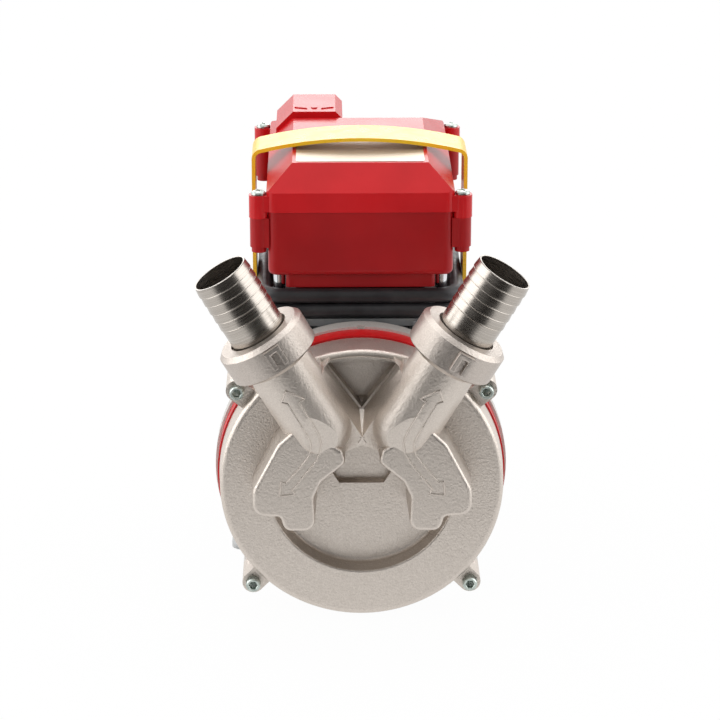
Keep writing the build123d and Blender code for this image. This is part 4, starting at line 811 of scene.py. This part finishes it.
floor_half, floor_back = 6, 8
floor_mesh = bpy.data.meshes.new("studio_floor")
floor_mesh.from_pydata([(-floor_half, -floor_half, 0), (floor_half, -floor_half, 0),
                        (floor_half, floor_back, 0), (-floor_half, floor_back, 0)],
                       [], [(0, 1, 2, 3)])
floor = bpy.data.objects.new("studio_floor", floor_mesh)
scene.collection.objects.link(floor)
floor_white = bpy.data.materials.new("floor_white")
floor_white.use_nodes = True
floor_tree = floor_white.node_tree
floor_shader = floor_tree.nodes["Principled BSDF"]
floor_shader.inputs["Base Color"].default_value = (0.86, 0.86, 0.86, 1)
floor_shader.inputs["Roughness"].default_value = 0.9
floor_glow = floor_tree.nodes.new("ShaderNodeEmission")
floor_glow.inputs["Strength"].default_value = 1.0
floor_mix = floor_tree.nodes.new("ShaderNodeMixShader")
floor_share = floor_tree.nodes.new("ShaderNodeMath")
floor_share.operation = "MULTIPLY"
floor_share.inputs[1].default_value = 0.97
floor_tree.links.new(seen_white(floor_tree), floor_share.inputs[0])
floor_tree.links.new(floor_share.outputs[0], floor_mix.inputs["Fac"])
floor_tree.links.new(floor_shader.outputs[0], floor_mix.inputs[1])
floor_tree.links.new(floor_glow.outputs[0], floor_mix.inputs[2])
floor_tree.links.new(floor_mix.outputs[0], floor_tree.nodes["Material Output"].inputs["Surface"])
floor_mesh.materials.append(floor_white)

studio = bpy.data.worlds.new("studio")
scene.world = studio
studio.use_nodes = True
sky = studio.node_tree
sky_light = sky.nodes["Background"]
sky_light.inputs["Color"].default_value = (1.0, 1.0, 1.0, 1)
sky_light.inputs["Strength"].default_value = 0.5
sky_white = sky.nodes.new("ShaderNodeBackground")
sky_white.inputs["Color"].default_value = (1.0, 1.0, 1.0, 1)
sky_white.inputs["Strength"].default_value = 0.97
sky_mix = sky.nodes.new("ShaderNodeMixShader")
sky.links.new(seen_white(sky), sky_mix.inputs["Fac"])
sky.links.new(sky_light.outputs[0], sky_mix.inputs[1])
sky.links.new(sky_white.outputs[0], sky_mix.inputs[2])
sky.links.new(sky_mix.outputs[0], sky.nodes["World Output"].inputs["Surface"])


def soft_light(name, place, target, size, power):
    """A rectangular area light, in metres and watts, turned to its target."""
    lamp = bpy.data.lights.new(name, "AREA")
    lamp.shape = "RECTANGLE"
    lamp.size = size[0]
    lamp.size_y = size[1]
    lamp.energy = power
    light = bpy.data.objects.new(name, lamp)
    light.visible_camera = False
    light.location = place
    light.rotation_euler = (Vector(target) - Vector(place)).to_track_quat("-Z", "Y").to_euler()
    scene.collection.objects.link(light)


soft_light("overhead_light", (0, 0.25, 1.6), (0, 0, 0.1), (1.6, 1.0), 8.0)
soft_light("left_light", (-1.8, -0.1, 0.9), (0, -0.05, 0.15), (2.2, 1.8), 22.0)
soft_light("right_light", (1.8, -0.1, 0.9), (0, -0.05, 0.15), (2.2, 1.8), 18.0)
soft_light("rear_light", (0, 2.3, 1.25), (0, 0, 0.3), (2.8, 1.0), 22.0)
soft_light("front_light", (-0.5, -1.9, 1.3), (0, -0.1, 0.15), (0.8, 0.6), 5.0)

# The dark room is a painted dark reflection: a sheet on the floor and standing up in front of the pump,
# hidden from the camera, diffuse light and shadows.
room_near, room_far = -0.62, -1.2
room_near_half, room_far_half = 0.5, 1.5
room_floor, room_top = 0.004, 2.2
room_mesh = bpy.data.meshes.new("dark_room")
room_mesh.from_pydata([(-room_near_half, room_near, room_floor), (room_near_half, room_near, room_floor),
                       (room_far_half, room_far, room_floor), (-room_far_half, room_far, room_floor),
                       (room_far_half, room_far, room_top), (-room_far_half, room_far, room_top)],
                      [], [(0, 1, 2, 3), (3, 2, 4, 5)])
room = bpy.data.objects.new("dark_room", room_mesh)
scene.collection.objects.link(room)
painted_dark_reflection = bpy.data.materials.new("painted_dark_reflection")
painted_dark_reflection.use_nodes = True
room_shader = painted_dark_reflection.node_tree.nodes["Principled BSDF"]
room_shader.inputs["Base Color"].default_value = (0.03, 0.028, 0.027, 1)
room_shader.inputs["Roughness"].default_value = 1.0
room_shader.inputs["Specular IOR Level"].default_value = 0.0
room_mesh.materials.append(painted_dark_reflection)
room.visible_camera = False
room.visible_diffuse = False
room.visible_shadow = False

scene.view_settings.view_transform = "Standard"
